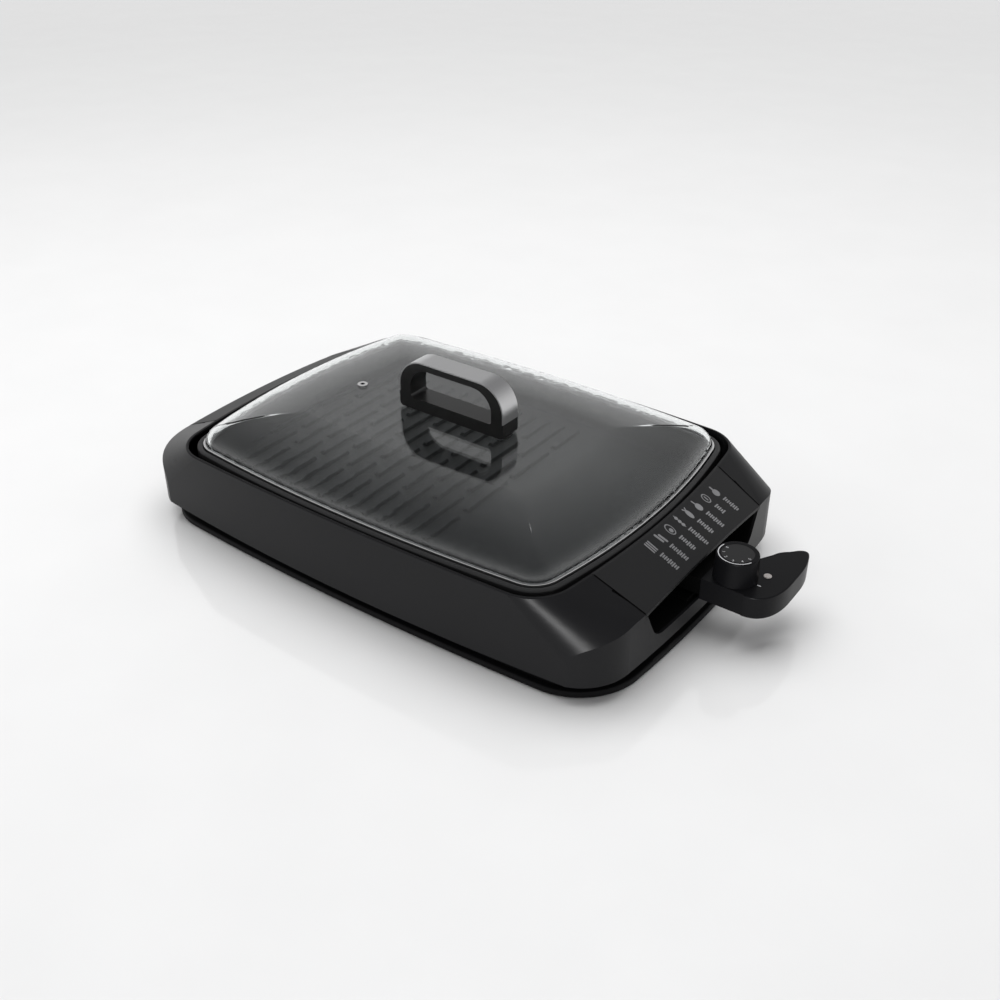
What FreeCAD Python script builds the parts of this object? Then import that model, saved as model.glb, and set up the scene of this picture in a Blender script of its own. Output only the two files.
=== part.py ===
"""Electric table griddle: casing, drop-in cooking plate, glass lid and plug-in thermostat probe.

Millimetres, +Z up. X runs along the long side, with the probe at the +X end, and the front
long side faces -Y. Pieces are drawn about a point on the table top under the middle of the
casing, and written with the origin under the middle of the overall length, probe included.
"""

import FreeCAD, Part
import math
import os

V = FreeCAD.Vector

# ---------------------------------------------------------------- overall sizes
CASING_LENGTH = 520.0
CASING_WIDTH = 333.5
CASING_TOP = 87.3
CASING_BOTTOM = 19.6

# ---------------------------------------------------------------- shared
GAP = 0.3                      # running gap between pieces that part from each other
PAST = 1.0                     # how far a cutting tool reaches past what it cuts
SCREW_RADIUS = 1.75
SCREW_HEAD = 3.4
SCREW_HEAD_HIGH = 1.8
SCREW_PLAY = 0.15
SCREW_END = 3.0                # screw hole's blind end to the end of its boss

# ---------------------------------------------------------------- casing
CASING_WALL = 2.5
CASING_DROP = 2.0              # how far the inner skin of a sloping end lies below the outer one
OPENING_INSET_X = 42.5         # opening edge to the end of the casing
OPENING_INSET_Y = 0.25
FLARE_SLOPE = 2.14             # run of a sloping end for each millimetre that it falls
FLARE_SIDE = 1.04              # how little the long sides lean out
FLARE_DEPTH = 10.0             # the flared surface is drawn this far past the casing's lower edge
CORNER_MARGIN = 1.25           # how far the corner prism stands outside the long sides
OPENING_RADII = (853.0, 3200.0, 38.6)
FLARE_RADII = (7040.0, 2380.0, 140.0)
CORNER_RADII = (1355.0, 2823.0, 48.1)
LIP = 2.2                      # width of the casing's lip around the opening
LIP_DEPTH = 20.0               # the opening is cut this far down
RIM_ROUND = 1.0

# ---------------------------------------------------------------- end panels and recesses
PANEL_HALF_TOP = 101.7         # half width of an end panel at the opening
PANEL_HALF_FOOT = 97.0         # and at its lower edge
PANEL_FOOT_INSET = 3.4         # lower edge of the panel to the end of the casing
PANEL_FOOT_BELOW = 18.8        # lower edge of the panel to the casing's top
PANEL_UNDER_OPENING = 30.0     # the panel's wedge starts this far inside the opening
SEAM = 0.45
PANEL_PLAY = 0.15              # panel's inner face to the ledge that it lies on
LEDGE_WIDTH = 6.0
LEDGE_THICK = 2.2
SEAT_BELOW = 24.8              # the cut for a panel reaches this far below the casing's top
LEDGE_BELOW = 32.3             # lowest that the ledge under a panel reaches
RECESS_HALF_FOOT = 79.8        # half width that the sloping recess sides would reach at the floor
RECESS_SIDE_GROWTH = 1.15      # how much wider the liner's outside is than its inside, per wall
RECESS_CORNER = 18.0
RECESS_BACK_INSET = 32.0       # back of a recess to the end of the casing
LINER_WALL = 2.0
CRADLE_HALF = 25.0
CRADLE_RISE = 3.0
CRADLE_CLEAR = 0.5             # cradle to the probe's underside
CRADLE_BACK = 6.0
CRADLE_FRONT = 5.5

# ---------------------------------------------------------------- cooking plate
BEAD_BELOW_CASING = 0.7
PLATE_LEDGE_DEPTH = 3.1        # bead's top to the ledge that the lid stands on
PLATE_BEAD_HIGH = 9.6
PLATE_DEPTH = 21.5             # ledge to the cooking surface
PLATE_FLOOR = 4.0
PLATE_WALL = 3.5
PLATE_WALL_BELOW_LEDGE = 1.0
PLATE_FLOOR_INSET = 18.5       # cooking surface to the lid's bright edge
PLATE_FLOOR_ROUND = 6.0
PLATE_LEDGE_WIDTH = 5.2
PLATE_BEAD_WIDTH = 5.5
PLATE_BEAD_WALL = 2.5
PLATE_BEAD_ROUND = 1.9
PLATE_SEAT = 1.7               # lid's bright edge to the inner side of the plate's bead
RIDGE_PITCH = 17.0
RIDGE_COUNT = 15
RIDGE_WIDTH = 6.5
RIDGE_TOP_WIDTH = 3.6
RIDGE_HEIGHT = 2.8
RIDGE_ROOT = 0.5
RIDGE_FIRST_INSET = 20.9       # first ridge to the lid's bright edge
RIDGE_END_INSET = 36.4         # ridge ends to the lid's bright edge
RIDGE_FIRST_SHORTER = 10.0
RIDGE_GAP = 9.0
RIDGE_GAPS_EVEN = (-64.0, 4.0, 70.0)
RIDGE_GAPS_ODD = (-38.0, 40.0)

# ---------------------------------------------------------------- lid
LID_INSET_X = 55.1             # lid's bright edge to the end of the casing
LID_INSET_Y = 13.35
LID_RADII = (635.0, 1770.0, 24.8)
LID_RIM_HIGH = 4.7
LID_RIM_OUT = 1.4
LID_RIM_IN = 5.0
LID_RIM_ROUND = 0.7
GLASS_IN_RIM = 2.2             # rim's foot to the glass's foot
GLASS_RISE = 26.6
GLASS = 4.0
GLASS_INSET = 0.5
DOME_REACH = 105.0             # from the glass edge to the flat crown's middle line
DOME_POWER = 2.6
DOME_CROWN = 80                # degrees round the dome's profile at which it goes flat
VENT_X = -115.0
VENT_RADIUS = 3.2
VENT_FLANGE = 1.8
VENT_FLANGE_HIGH = 0.8
VENT_STEM_BELOW = 2.0
VENT_WALL = 1.1
VENT_SQUEEZE = 0.02
HANDLE_LENGTH = 117.0
HANDLE_DEPTH = 22.0
HANDLE_HIGH = 48.6
HANDLE_CORNER = 27.0
HANDLE_FOOT_CORNER = 4.0
HANDLE_COVER = 1.2
HANDLE_TOP_BAR = 7.0
HANDLE_SIDE_BAR = 13.0
HANDLE_FOOT_BAR = 11.6
HANDLE_WINDOW_CORNER = 3.0
HANDLE_COVER_RISE = 14.6       # handle's foot to the end of the steel strip
HANDLE_GASKET = 0.8
HANDLE_GASKET_RADIUS = 8.0
HANDLE_SCREW_INSET = 8.5
HANDLE_SCREW_REACH = 11.0
GLASS_HOLE = 3.0
WASHER_THICK = 1.0
WASHER_RADIUS = 7.0
WASHER_HOLE = 2.2

# ---------------------------------------------------------------- heating
ELEMENT_RADIUS = 3.5
ELEMENT_DROP = 7.2             # element under the plate to its terminals
ELEMENT_BEND = 13.5
ELEMENT_DIP_BEND = 14.0
ELEMENT_DIP_INSET = 32.0       # back of the recess to where the element starts to dip
ELEMENT_LEG_Y = 12.0
ELEMENT_OUTER_INSET = 49.4     # outer run to the lid's long edge
ELEMENT_INNER_Y = 44.0
ELEMENT_LEFT_INSET = 44.9
ELEMENT_RIGHT_INSET = 39.9
ELEMENT_STEP = 30.0
ELEMENT_MIDDLE_STEP = 75.0
PIN_RADIUS = 2.4
PIN_REACH = 20.0
PIN_TIP_ROUND = 1.2
INSULATOR_RADIUS = 6.0
INSULATOR_BEHIND = 6.0
INSULATOR_PROUD = 1.5
SEAL_LENGTH = 4.0
SEAL_WALL = 1.0
TERMINAL_PLATE = 1.5
TERMINAL_PLATE_HALF_Y = 30.0
TERMINAL_PLATE_HALF_Z = 11.0
REFLECTOR_INSET_X = 60.0
REFLECTOR_INSET_Y = 29.0
REFLECTOR_RADII = (900.0, 3000.0, 24.0)
REFLECTOR_DROP = 11.0          # terminals' height to the reflector's underside
REFLECTOR_WALL = 0.6
REFLECTOR_HIGH = 7.0
POST_RADIUS = 5.0
POST_BORE = 2.0
POST_X = 120.0
POST_Y = 74.0
SENSOR_RADIUS = 2.5
SENSOR_PLAY = 1.0
SENSOR_REACH = 60.0            # back of the recess to the sensor rod's tip
SENSOR_TIP_ROUND = 1.5
SENSOR_PAD = 12.0
SENSOR_PAD_PAST = 3.0

# ---------------------------------------------------------------- base
BASE_INSET_X = 2.0
BASE_INSET_Y = 6.05
BASE_RADII = (1259.0, 3145.0, 60.4)
BASE_UNDERSIDE = 1.5
BASE_FLOOR = 2.5
SKIRT_TOP = 7.0
SKIRT_ROUND = 1.5
UPSTAND_INSET = 6.0
UPSTAND_WALL = 2.5
UPSTAND_TOP = 31.0
BOSS_RADIUS = 5.0
BOSS_ROOT = 0.5
RIB_HALF = 3.0
SIDE_BOSS_X = (-165.0, 0.0, 165.0)
SIDE_BOSS_INSET = 21.0         # centre of a side boss to the long side of the casing
SIDE_BOSS_JOIN = 33.0          # height where base boss and casing boss meet
SIDE_BOSS_TOP = 46.0
SIDE_SCREW_REACH = 8.0
LINER_BOSS_Y = 60.0
LINER_BOSS_INSET = 18.0
LINER_BOSS_HIGH = 6.0
LINER_SCREW_REACH = 5.0
LINER_SCREW_END = 0.5
FOOT_RADIUS = 11.0
FOOT_STEM = 11.0 / 3
FOOT_X_INSET = 54.0
FOOT_Y_INSET = 51.05

# ---------------------------------------------------------------- probe
PROBE_HALF_HIGH = 10.0
PROBE_HALF = 18.5
PROBE_START = 2.0              # casing end to the start of the housing
PROBE_GRIP_OUT = 63.0          # casing end to the outer face of the grip
PROBE_SHELL = 2.2
CHAMBER_END = 8.0              # grip's outer face to the hollow inside
GRIP_STEP = 23.0               # grip's outer face to the step in its near side
GRIP_STEP_PROUD = 1.2          # how far the grip stands out at that step
CHAMBER_CORNER_PLAY = 1.0      # thermostat's side to the hollow's narrow end
GRIP_END_Y = 68.0
GRIP_ROUND = 1.0
GRIP_BULGE = 1.2               # how far the grip's curve swells past its outer points
NECK_HALF_Y = 17.0
NECK_HALF_Z = 7.5
NECK_CLEAR = 3.0
KNOB_OUT = 23.0                # casing end to the knob's axis
KNOB_RADIUS = 17.5
KNOB_TAPER = 0.9
KNOB_HIGH = 22.5
KNOB_CLEAR = 0.5
KNOB_ROUND = 1.0
KNOB_WALL = 2.0
KNOB_ROOF = 6.0
KNOB_HUB = 2.5
KNOB_HUB_SHORTER = 5.0
KNOB_CAP_INSET = 4.0
KNOB_CAP_DEPTH = 1.0
KNOB_CAP_THICK = 0.8
SHAFT_RADIUS = 3.0
SHAFT_PLAY = 0.06
SHAFT_FLANGE = 2.0
SHAFT_FLANGE_HIGH = 1.5
SHAFT_IN_KNOB = 6.6            # knob's top to the end of the shaft
SLEEVE_WALL = 1.2
SLEEVE_END = 3.0
ROD_END = 4.0                  # how far the sensor rod reaches into the housing
LENS_RADIUS = 3.4
LENS_PROUD = 0.8
LENS_ROUND = 0.7
LENS_OUT = 44.0                # casing end to the lens
LENS_Y = 16.0
LAMP_RADIUS = 2.4
LAMP_BELOW = 1.0               # lamp's foot below the probe's axis
LAMP_ROUND = 1.0
GLAND_RADIUS = 5.0
GLAND_BORE = 3.2
GLAND_INSIDE = 9.0
GLAND_PROUD = 5.0
GLAND_ROUND = 1.5
CABLE_IN = 13.0                # grip's outer face to the cable way
CABLE_HALF = 4.0
PROBE_SCREW_Y = 44.0
PROBE_SCREW_IN = 8.0           # cable way to the probe's screw
PROBE_SCREW_ROOF = 3.0
THERMOSTAT_STEEL = 1.2
THERMOSTAT_HALF = 8.0
THERMOSTAT_LENGTH = 32.0
BLADE_BLOCK = (7.0, 6.0, 6.0)  # length, half width and height of the switch's block
BLADE_THICK = 0.6
BLADE_REACH = 12.0
BLADE_HALF = 3.0
CONTACT_RADIUS = 2.0
CONTACT_HIGH = 1.6
CONTACT_IN = 3.0               # contact's middle, under the shaft, to the blade's free end

# ---------------------------------------------------------------- worked out from the above
END_X = CASING_LENGTH / 2
ORIGIN_X = (PROBE_GRIP_OUT + GRIP_BULGE) / 2
SIDE_Y = CASING_WIDTH / 2
LID_LENGTH = CASING_LENGTH - 2 * LID_INSET_X
LID_WIDTH = CASING_WIDTH - 2 * LID_INSET_Y
BASE_LENGTH = CASING_LENGTH - 2 * BASE_INSET_X
BASE_WIDTH = CASING_WIDTH - 2 * BASE_INSET_Y
BASE_INSIDE = BASE_UNDERSIDE + BASE_FLOOR
RECESS_BACK = END_X - RECESS_BACK_INSET
PLATE_BEAD_TOP = CASING_TOP - BEAD_BELOW_CASING
PLATE_BEAD_FOOT = PLATE_BEAD_TOP - PLATE_BEAD_HIGH
PLATE_LEDGE = PLATE_BEAD_TOP - PLATE_LEDGE_DEPTH
PLATE_FLOOR_TOP = PLATE_LEDGE - PLATE_DEPTH
PLATE_UNDERSIDE = PLATE_FLOOR_TOP - PLATE_FLOOR
LID_RIM_FOOT = PLATE_LEDGE + GAP
LID_EDGE = LID_RIM_FOOT + LID_RIM_HIGH
GLASS_FOOT = LID_RIM_FOOT + GLASS_IN_RIM
GLASS_TOP = GLASS_FOOT + GLASS_RISE
HANDLE_FOOT = GLASS_TOP + HANDLE_GASKET
HANDLE_TOP = HANDLE_FOOT + HANDLE_HIGH
HANDLE_WINDOW_FOOT = HANDLE_FOOT + HANDLE_FOOT_BAR
HANDLE_COVER_FOOT = HANDLE_FOOT + HANDLE_COVER_RISE
HANDLE_SCREW_X = HANDLE_LENGTH / 2 - HANDLE_SCREW_INSET
ELEMENT_Z = PLATE_UNDERSIDE - GAP - ELEMENT_RADIUS
PROBE_AXIS = ELEMENT_Z - ELEMENT_DROP
SENSOR_TIP_X = RECESS_BACK - SENSOR_REACH
PROBE_TOP = PROBE_AXIS + PROBE_HALF_HIGH
PROBE_BOTTOM = PROBE_AXIS - PROBE_HALF_HIGH
RECESS_FLOOR = PROBE_BOTTOM - CRADLE_CLEAR - CRADLE_RISE
LINER_UNDERSIDE = RECESS_FLOOR - LINER_WALL
LINER_BOSS_JOIN = LINER_UNDERSIDE - LINER_BOSS_HIGH
REFLECTOR_FLOOR = PROBE_AXIS - REFLECTOR_DROP
REFLECTOR_TOP = REFLECTOR_FLOOR + REFLECTOR_HIGH
KNOB_X = END_X + KNOB_OUT
KNOB_FOOT = PROBE_TOP + KNOB_CLEAR
KNOB_TOP = KNOB_FOOT + KNOB_HIGH
SHAFT_TOP = KNOB_TOP - SHAFT_IN_KNOB
CHAMBER_X0 = END_X + PROBE_START + PROBE_SHELL
CHAMBER_X1 = END_X + PROBE_GRIP_OUT - CHAMBER_END
CHAMBER_HALF = PROBE_HALF - PROBE_SHELL
CHAMBER_NARROW = THERMOSTAT_HALF + CHAMBER_CORNER_PLAY
GRIP_STEP_X = END_X + PROBE_GRIP_OUT - GRIP_STEP
CHAMBER_TOP = PROBE_TOP - PROBE_SHELL
CHAMBER_BOTTOM = PROBE_BOTTOM + PROBE_SHELL
CABLE_X = END_X + PROBE_GRIP_OUT - CABLE_IN
GLAND_Y = GRIP_END_Y - GLAND_INSIDE
LENS_X = END_X + LENS_OUT
PROBE_SCREW_X = CABLE_X - PROBE_SCREW_IN
SEAL_START = RECESS_BACK - INSULATOR_BEHIND - SEAL_LENGTH


# ---------------------------------------------------------------- outlines
class Outline:
    """A rectangle with bowed sides and rounded corners, centred on the origin."""

    def __init__(self, half_x, half_y, radii):
        self.half_x = half_x
        self.half_y = half_y
        self.end_radius, self.side_radius, self.corner = radii

    def grown(self, by):
        """The parallel outline, further out by the given distance."""
        radii = (self.end_radius + by, self.side_radius + by, max(self.corner + by, 1.0))
        return Outline(self.half_x + by, self.half_y + by, radii)

    def wire(self, z):
        """The outline as eight arcs at height z."""
        side_centre = self.half_y - self.side_radius
        end_centre = self.half_x - self.end_radius
        reach_side = self.side_radius - self.corner
        reach_end = self.end_radius - self.corner
        apart = math.hypot(end_centre, side_centre)
        along = (reach_side**2 - reach_end**2 + apart**2) / (2 * apart)
        off = math.sqrt(reach_side**2 - along**2)
        step_x, step_y = end_centre / apart, -side_centre / apart
        corner_x = step_x * along - step_y * off
        corner_y = side_centre + step_y * along + step_x * off
        if corner_x < 0 or corner_y < 0:
            corner_x = step_x * along + step_y * off
            corner_y = side_centre + step_y * along - step_x * off
        toward_side = math.atan2(corner_y - side_centre, corner_x)
        toward_end = math.atan2(corner_y, corner_x - end_centre)
        middle = (toward_side + toward_end) / 2

        def on_corner(angle):
            return (corner_x + self.corner * math.cos(angle), corner_y + self.corner * math.sin(angle))

        start, mid, stop = on_corner(toward_end), on_corner(middle), on_corner(toward_side)
        places = [
            (self.half_x, 0), start, mid, stop, (0, self.half_y),
            (-stop[0], stop[1]), (-mid[0], mid[1]), (-start[0], start[1]), (-self.half_x, 0),
            (-start[0], -start[1]), (-mid[0], -mid[1]), (-stop[0], -stop[1]), (0, -self.half_y),
            (stop[0], -stop[1]), (mid[0], -mid[1]), (start[0], -start[1]),
        ]
        points = [V(x, y, z) for x, y in places]
        edges = []
        for first in range(1, 16, 2):
            a, b, c = (points[(first + step) % 16] for step in range(3))
            edges.append(Part.Arc(a, b, c).toShape())
        return Part.Wire(edges)

    def prism(self, low, high):
        return Part.Face(self.wire(low)).extrude(V(0, 0, high - low))


def loft(sections):
    """A solid through (outline, height) pairs, smooth where there are more than two."""
    wires = [outline.wire(z) for outline, z in sections]
    return Part.makeLoft(wires, True, len(wires) == 2)


def box(x0, x1, y0, y1, z0, z1):
    return Part.makeBox(x1 - x0, y1 - y0, z1 - z0, V(x0, y0, z0))


def rod(x, y, z0, z1, radius):
    return Part.makeCylinder(radius, z1 - z0, V(x, y, z0))


def bar(x0, x1, y, z, radius):
    return Part.makeCylinder(radius, x1 - x0, V(x0, y, z), V(1, 0, 0))


def tube(x, y, z0, z1, outer, inner):
    return rod(x, y, z0, z1, outer).cut(rod(x, y, z0, z1, inner))


def polygon_prism(points, direction):
    """A prism from points in order, extruded along a vector."""
    return Part.Face(Part.makePolygon(points + points[:1])).extrude(direction)


def turned(shape):
    """The same piece at the other end of the griddle."""
    copy = shape.copy()
    copy.rotate(V(0, 0, 0), V(0, 0, 1), 180)
    return copy


def screw(x, y, low, high):
    """A screw driven upwards, with its head at the low end."""
    head = rod(x, y, low, low + SCREW_HEAD_HIGH, SCREW_HEAD)
    return head.fuse(rod(x, y, low + SCREW_HEAD_HIGH, high, SCREW_RADIUS))


def screw_hole(x, y, low, high):
    return rod(x, y, low, high, SCREW_RADIUS + SCREW_PLAY)


OPENING = Outline(END_X - OPENING_INSET_X, SIDE_Y - OPENING_INSET_Y, OPENING_RADII)
CORNERS = Outline(END_X, SIDE_Y + CORNER_MARGIN, CORNER_RADII)
BASE = Outline(BASE_LENGTH / 2, BASE_WIDTH / 2, BASE_RADII)
LID = Outline(LID_LENGTH / 2, LID_WIDTH / 2, LID_RADII)
FLARE_FALL = CASING_TOP - CASING_BOTTOM + FLARE_DEPTH
FLARE = Outline(OPENING.half_x + FLARE_SLOPE * FLARE_FALL, SIDE_Y + FLARE_SIDE, FLARE_RADII)
REFLECTOR = Outline(END_X - REFLECTOR_INSET_X, SIDE_Y - REFLECTOR_INSET_Y, REFLECTOR_RADII)


# ---------------------------------------------------------------- casing and ends
def flared(inset, drop):
    """The body under the flared skin, or under a skin further in."""
    top = CASING_TOP - drop
    foot = CASING_BOTTOM - FLARE_DEPTH - drop
    return loft([(FLARE.grown(-inset), foot), (OPENING.grown(-inset), top)])


def panel_plan(grow, low, high, start=0.0):
    """The wedge of an end panel, seen from above, as a tall block at the +X end."""
    inner = OPENING.half_x - PANEL_UNDER_OPENING + start
    foot = END_X - PANEL_FOOT_INSET
    taper = (PANEL_HALF_TOP - PANEL_HALF_FOOT) / (foot - OPENING.half_x)
    half_in = PANEL_HALF_TOP + taper * (OPENING.half_x - inner) + grow
    half_out = PANEL_HALF_FOOT - taper * PANEL_FOOT_INSET + grow
    outer = END_X + PAST
    points = [V(inner, -half_in, low), V(outer, -half_out, low)]
    points += [V(outer, half_out, low), V(inner, half_in, low)]
    return polygon_prism(points, V(0, 0, high - low))


def recess_profile(grow, x0, x1):
    """The U of a finger recess, with sloping sides, as a block along X."""
    top = CASING_TOP
    floor = RECESS_FLOOR - grow
    slope = (PANEL_HALF_FOOT - RECESS_HALF_FOOT) / (CASING_TOP - PANEL_FOOT_BELOW - RECESS_FLOOR)
    half_foot = RECESS_HALF_FOOT + grow * (RECESS_SIDE_GROWTH - slope)
    half_top = half_foot + slope * (top - floor)
    corners = [V(x0, -half_top, top), V(x0, -half_foot, floor)]
    corners += [V(x0, half_foot, floor), V(x0, half_top, top)]
    solid = polygon_prism(corners, V(x1 - x0, 0, 0))
    low_edges = [e for e in solid.Edges if e.BoundBox.XLength > 1 and e.BoundBox.ZMax < floor + 1]
    return solid.makeFillet(RECESS_CORNER + grow, low_edges)


def outer_casing():
    """The one-piece outer shell, open below, with its plate opening above and a seat at each end."""
    body = flared(0, 0).common(CORNERS.prism(CASING_BOTTOM, CASING_TOP + PAST))
    rim = [e for e in body.Edges if e.BoundBox.ZMin > CASING_TOP - 0.01]
    body = body.makeFillet(RIM_ROUND, rim)
    inner_corners = CORNERS.grown(-CASING_WALL)
    hollow = flared(CASING_WALL, CASING_DROP)
    hollow = hollow.common(inner_corners.prism(CASING_BOTTOM - PAST, CASING_TOP))
    opening = OPENING.grown(-LIP).prism(CASING_TOP - LIP_DEPTH, CASING_TOP + PAST)
    shell = body.cut(hollow).cut(opening)
    under = flared(CASING_WALL + LEDGE_THICK, CASING_DROP + LEDGE_THICK)
    low = CASING_TOP - LEDGE_BELOW
    ledge_skin = hollow.cut(under).cut(opening).common(box(0, END_X, -SIDE_Y, SIDE_Y, low, CASING_TOP))
    recess = recess_profile(0, RECESS_BACK, END_X + 2 * PAST)
    seat = panel_plan(0, CASING_TOP - SEAT_BELOW, CASING_TOP + PAST)
    window = panel_plan(-LEDGE_WIDTH, low - PAST, CASING_TOP + PAST, PANEL_UNDER_OPENING + LEDGE_WIDTH)
    frame = panel_plan(LEDGE_WIDTH, low, CASING_TOP).cut(window)
    for side in (1, -1):
        cut = seat.fuse(recess)
        ledge = ledge_skin.common(frame).cut(recess)
        if side < 0:
            cut, ledge = turned(cut), turned(ledge)
        shell = shell.cut(cut).fuse(ledge)
    boss_y = SIDE_Y - SIDE_BOSS_INSET
    within = flared(CASING_WALL / 2, 0)
    for x in SIDE_BOSS_X:
        for side in (1, -1):
            y0, y1 = sorted((side * boss_y, side * (SIDE_Y - CASING_WALL + BOSS_ROOT)))
            rib = box(x - RIB_HALF, x + RIB_HALF, y0, y1, SIDE_BOSS_JOIN, SIDE_BOSS_TOP)
            boss = rod(x, side * boss_y, SIDE_BOSS_JOIN, SIDE_BOSS_TOP, BOSS_RADIUS)
            boss = boss.fuse(rib.common(within))
            hole = screw_hole(x, side * boss_y, SIDE_BOSS_JOIN - PAST, SIDE_BOSS_TOP - SCREW_END)
            shell = shell.fuse(boss).cut(hole)
    return shell


def right_end_panel():
    """The sloping panel beside the opening, seated on the casing's ledge."""
    skin = flared(0, 0).cut(flared(CASING_WALL - PANEL_PLAY, CASING_DROP - PANEL_PLAY))
    skin = skin.common(box(0, END_X - PANEL_FOOT_INSET, -SIDE_Y, SIDE_Y, 0, CASING_TOP + PAST))
    skin = skin.cut(OPENING.grown(-LIP).prism(0, CASING_TOP + PAST))
    return skin.common(panel_plan(-SEAM, CASING_TOP - LEDGE_BELOW, CASING_TOP + PAST))


def left_end_panel():
    return turned(right_end_panel())


def recess_liner():
    """The black trough behind an end recess: floor, sides and back, open to the end and above."""
    inside = CORNERS.grown(-CASING_WALL).prism(0, CASING_TOP)
    under_ledge = flared(CASING_WALL + LEDGE_THICK, CASING_DROP + LEDGE_THICK)
    block = recess_profile(LINER_WALL, RECESS_BACK - LINER_WALL, END_X)
    block = block.common(inside).common(under_ledge)
    liner = block.cut(recess_profile(0, RECESS_BACK, END_X + PAST))
    for side in (1, -1):
        x, y = END_X - LINER_BOSS_INSET, side * LINER_BOSS_Y
        liner = liner.fuse(rod(x, y, LINER_BOSS_JOIN, LINER_UNDERSIDE, BOSS_RADIUS))
        liner = liner.cut(screw_hole(x, y, LINER_BOSS_JOIN - PAST, LINER_UNDERSIDE - LINER_SCREW_END))
    return liner


def right_recess_liner():
    """The socket end's liner, with holes in its back for the insulators and the sensor rod."""
    liner = recess_liner()
    behind, before = RECESS_BACK - LINER_WALL - PAST, RECESS_BACK + PAST
    for y in (-ELEMENT_LEG_Y, ELEMENT_LEG_Y):
        liner = liner.cut(bar(behind, before, y, PROBE_AXIS, INSULATOR_RADIUS))
    liner = liner.cut(bar(behind, before, 0, PROBE_AXIS, SENSOR_RADIUS + SENSOR_PLAY))
    x0, x1 = RECESS_BACK + CRADLE_BACK, END_X - CRADLE_FRONT
    return liner.fuse(box(x0, x1, -CRADLE_HALF, CRADLE_HALF, RECESS_FLOOR, RECESS_FLOOR + CRADLE_RISE))


def left_recess_liner():
    return turned(recess_liner())


# ---------------------------------------------------------------- base
def screw_places():
    """Every screw from below: x, y and the height where base and upper boss meet."""
    places = []
    for side in (1, -1):
        for x in SIDE_BOSS_X:
            places.append((x, side * (SIDE_Y - SIDE_BOSS_INSET), SIDE_BOSS_JOIN))
        for end in (1, -1):
            places.append((end * (END_X - LINER_BOSS_INSET), side * LINER_BOSS_Y, LINER_BOSS_JOIN))
    return places


def corner_places(x, y):
    return [(x, y), (-x, y), (-x, -y), (x, -y)]


def foot_places():
    return corner_places(END_X - FOOT_X_INSET, SIDE_Y - FOOT_Y_INSET)


def base_tray():
    """The bottom moulding: a low skirt, an upstand inside the casing and a boss at each screw."""
    skirt = BASE.prism(BASE_UNDERSIDE, SKIRT_TOP)
    skirt = skirt.makeFillet(SKIRT_ROUND, [e for e in skirt.Edges if e.BoundBox.ZMin > SKIRT_TOP - 0.01])
    upstand = BASE.grown(-UPSTAND_INSET).prism(SKIRT_TOP - PAST, UPSTAND_TOP)
    inside = BASE.grown(-UPSTAND_INSET - UPSTAND_WALL).prism(BASE_INSIDE, UPSTAND_TOP + PAST)
    tray = skirt.fuse(upstand).cut(inside)
    for x, y, join in screw_places():
        tray = tray.fuse(rod(x, y, BASE_INSIDE - BOSS_ROOT, join, BOSS_RADIUS))
        head_top = BASE_UNDERSIDE + SCREW_HEAD_HIGH
        tray = tray.cut(rod(x, y, BASE_UNDERSIDE - PAST, head_top, SCREW_HEAD + SCREW_PLAY))
        tray = tray.cut(screw_hole(x, y, BASE_UNDERSIDE, join + PAST))
    for x, y in foot_places():
        tray = tray.cut(rod(x, y, BASE_UNDERSIDE - PAST, BASE_INSIDE + PAST, FOOT_STEM + SCREW_PLAY))
    return tray


def base_screws():
    screws = []
    for x, y, join in screw_places():
        reach = SIDE_SCREW_REACH if join == SIDE_BOSS_JOIN else LINER_SCREW_REACH
        screws.append(screw(x, y, BASE_UNDERSIDE, join + reach))
    return Part.makeCompound(screws)


def rubber_feet():
    feet = []
    for x, y in foot_places():
        pad = rod(x, y, 0, BASE_UNDERSIDE, FOOT_RADIUS)
        feet.append(pad.fuse(rod(x, y, BASE_UNDERSIDE, BASE_INSIDE, FOOT_STEM)))
    return Part.makeCompound(feet)


# ---------------------------------------------------------------- heating
def heat_reflector():
    """A folded steel tray under the element."""
    outer = REFLECTOR.prism(REFLECTOR_FLOOR, REFLECTOR_TOP)
    inner = REFLECTOR.grown(-REFLECTOR_WALL).prism(REFLECTOR_FLOOR + REFLECTOR_WALL, REFLECTOR_TOP + PAST)
    return outer.cut(inner)


def reflector_posts():
    """Hollow steel spacers that carry the reflector on the base."""
    posts = []
    for x, y in corner_places(POST_X, POST_Y):
        posts.append(tube(x, y, BASE_INSIDE, REFLECTOR_FLOOR, POST_RADIUS, POST_BORE))
    return Part.makeCompound(posts)


def plate_supports():
    """Steel posts on the reflector that the cooking plate rests on."""
    low = REFLECTOR_FLOOR + REFLECTOR_WALL
    places = corner_places(POST_X, POST_Y)
    return Part.makeCompound([rod(x, y, low, PLATE_UNDERSIDE - GAP, POST_RADIUS) for x, y in places])


def bend(points, z, radius):
    """Edges of a flat path with a round bend of one radius at every inner point."""
    edges = []
    last = V(*points[0], z)
    for before, here, after in zip(points, points[1:], points[2:]):
        corner = V(*here, z)
        back = (V(*before, z) - corner).normalize()
        ahead = (V(*after, z) - corner).normalize()
        half = back.getAngle(ahead) / 2
        start = corner + back * (radius / math.tan(half))
        stop = corner + ahead * (radius / math.tan(half))
        middle_way = (back + ahead).normalize()
        mid = corner + middle_way * (radius / math.sin(half) - radius)
        edges.append(Part.LineSegment(last, start).toShape())
        edges.append(Part.Arc(start, mid, stop).toShape())
        last = stop
    edges.append(Part.LineSegment(last, V(*points[-1], z)).toShape())
    return edges


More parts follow.
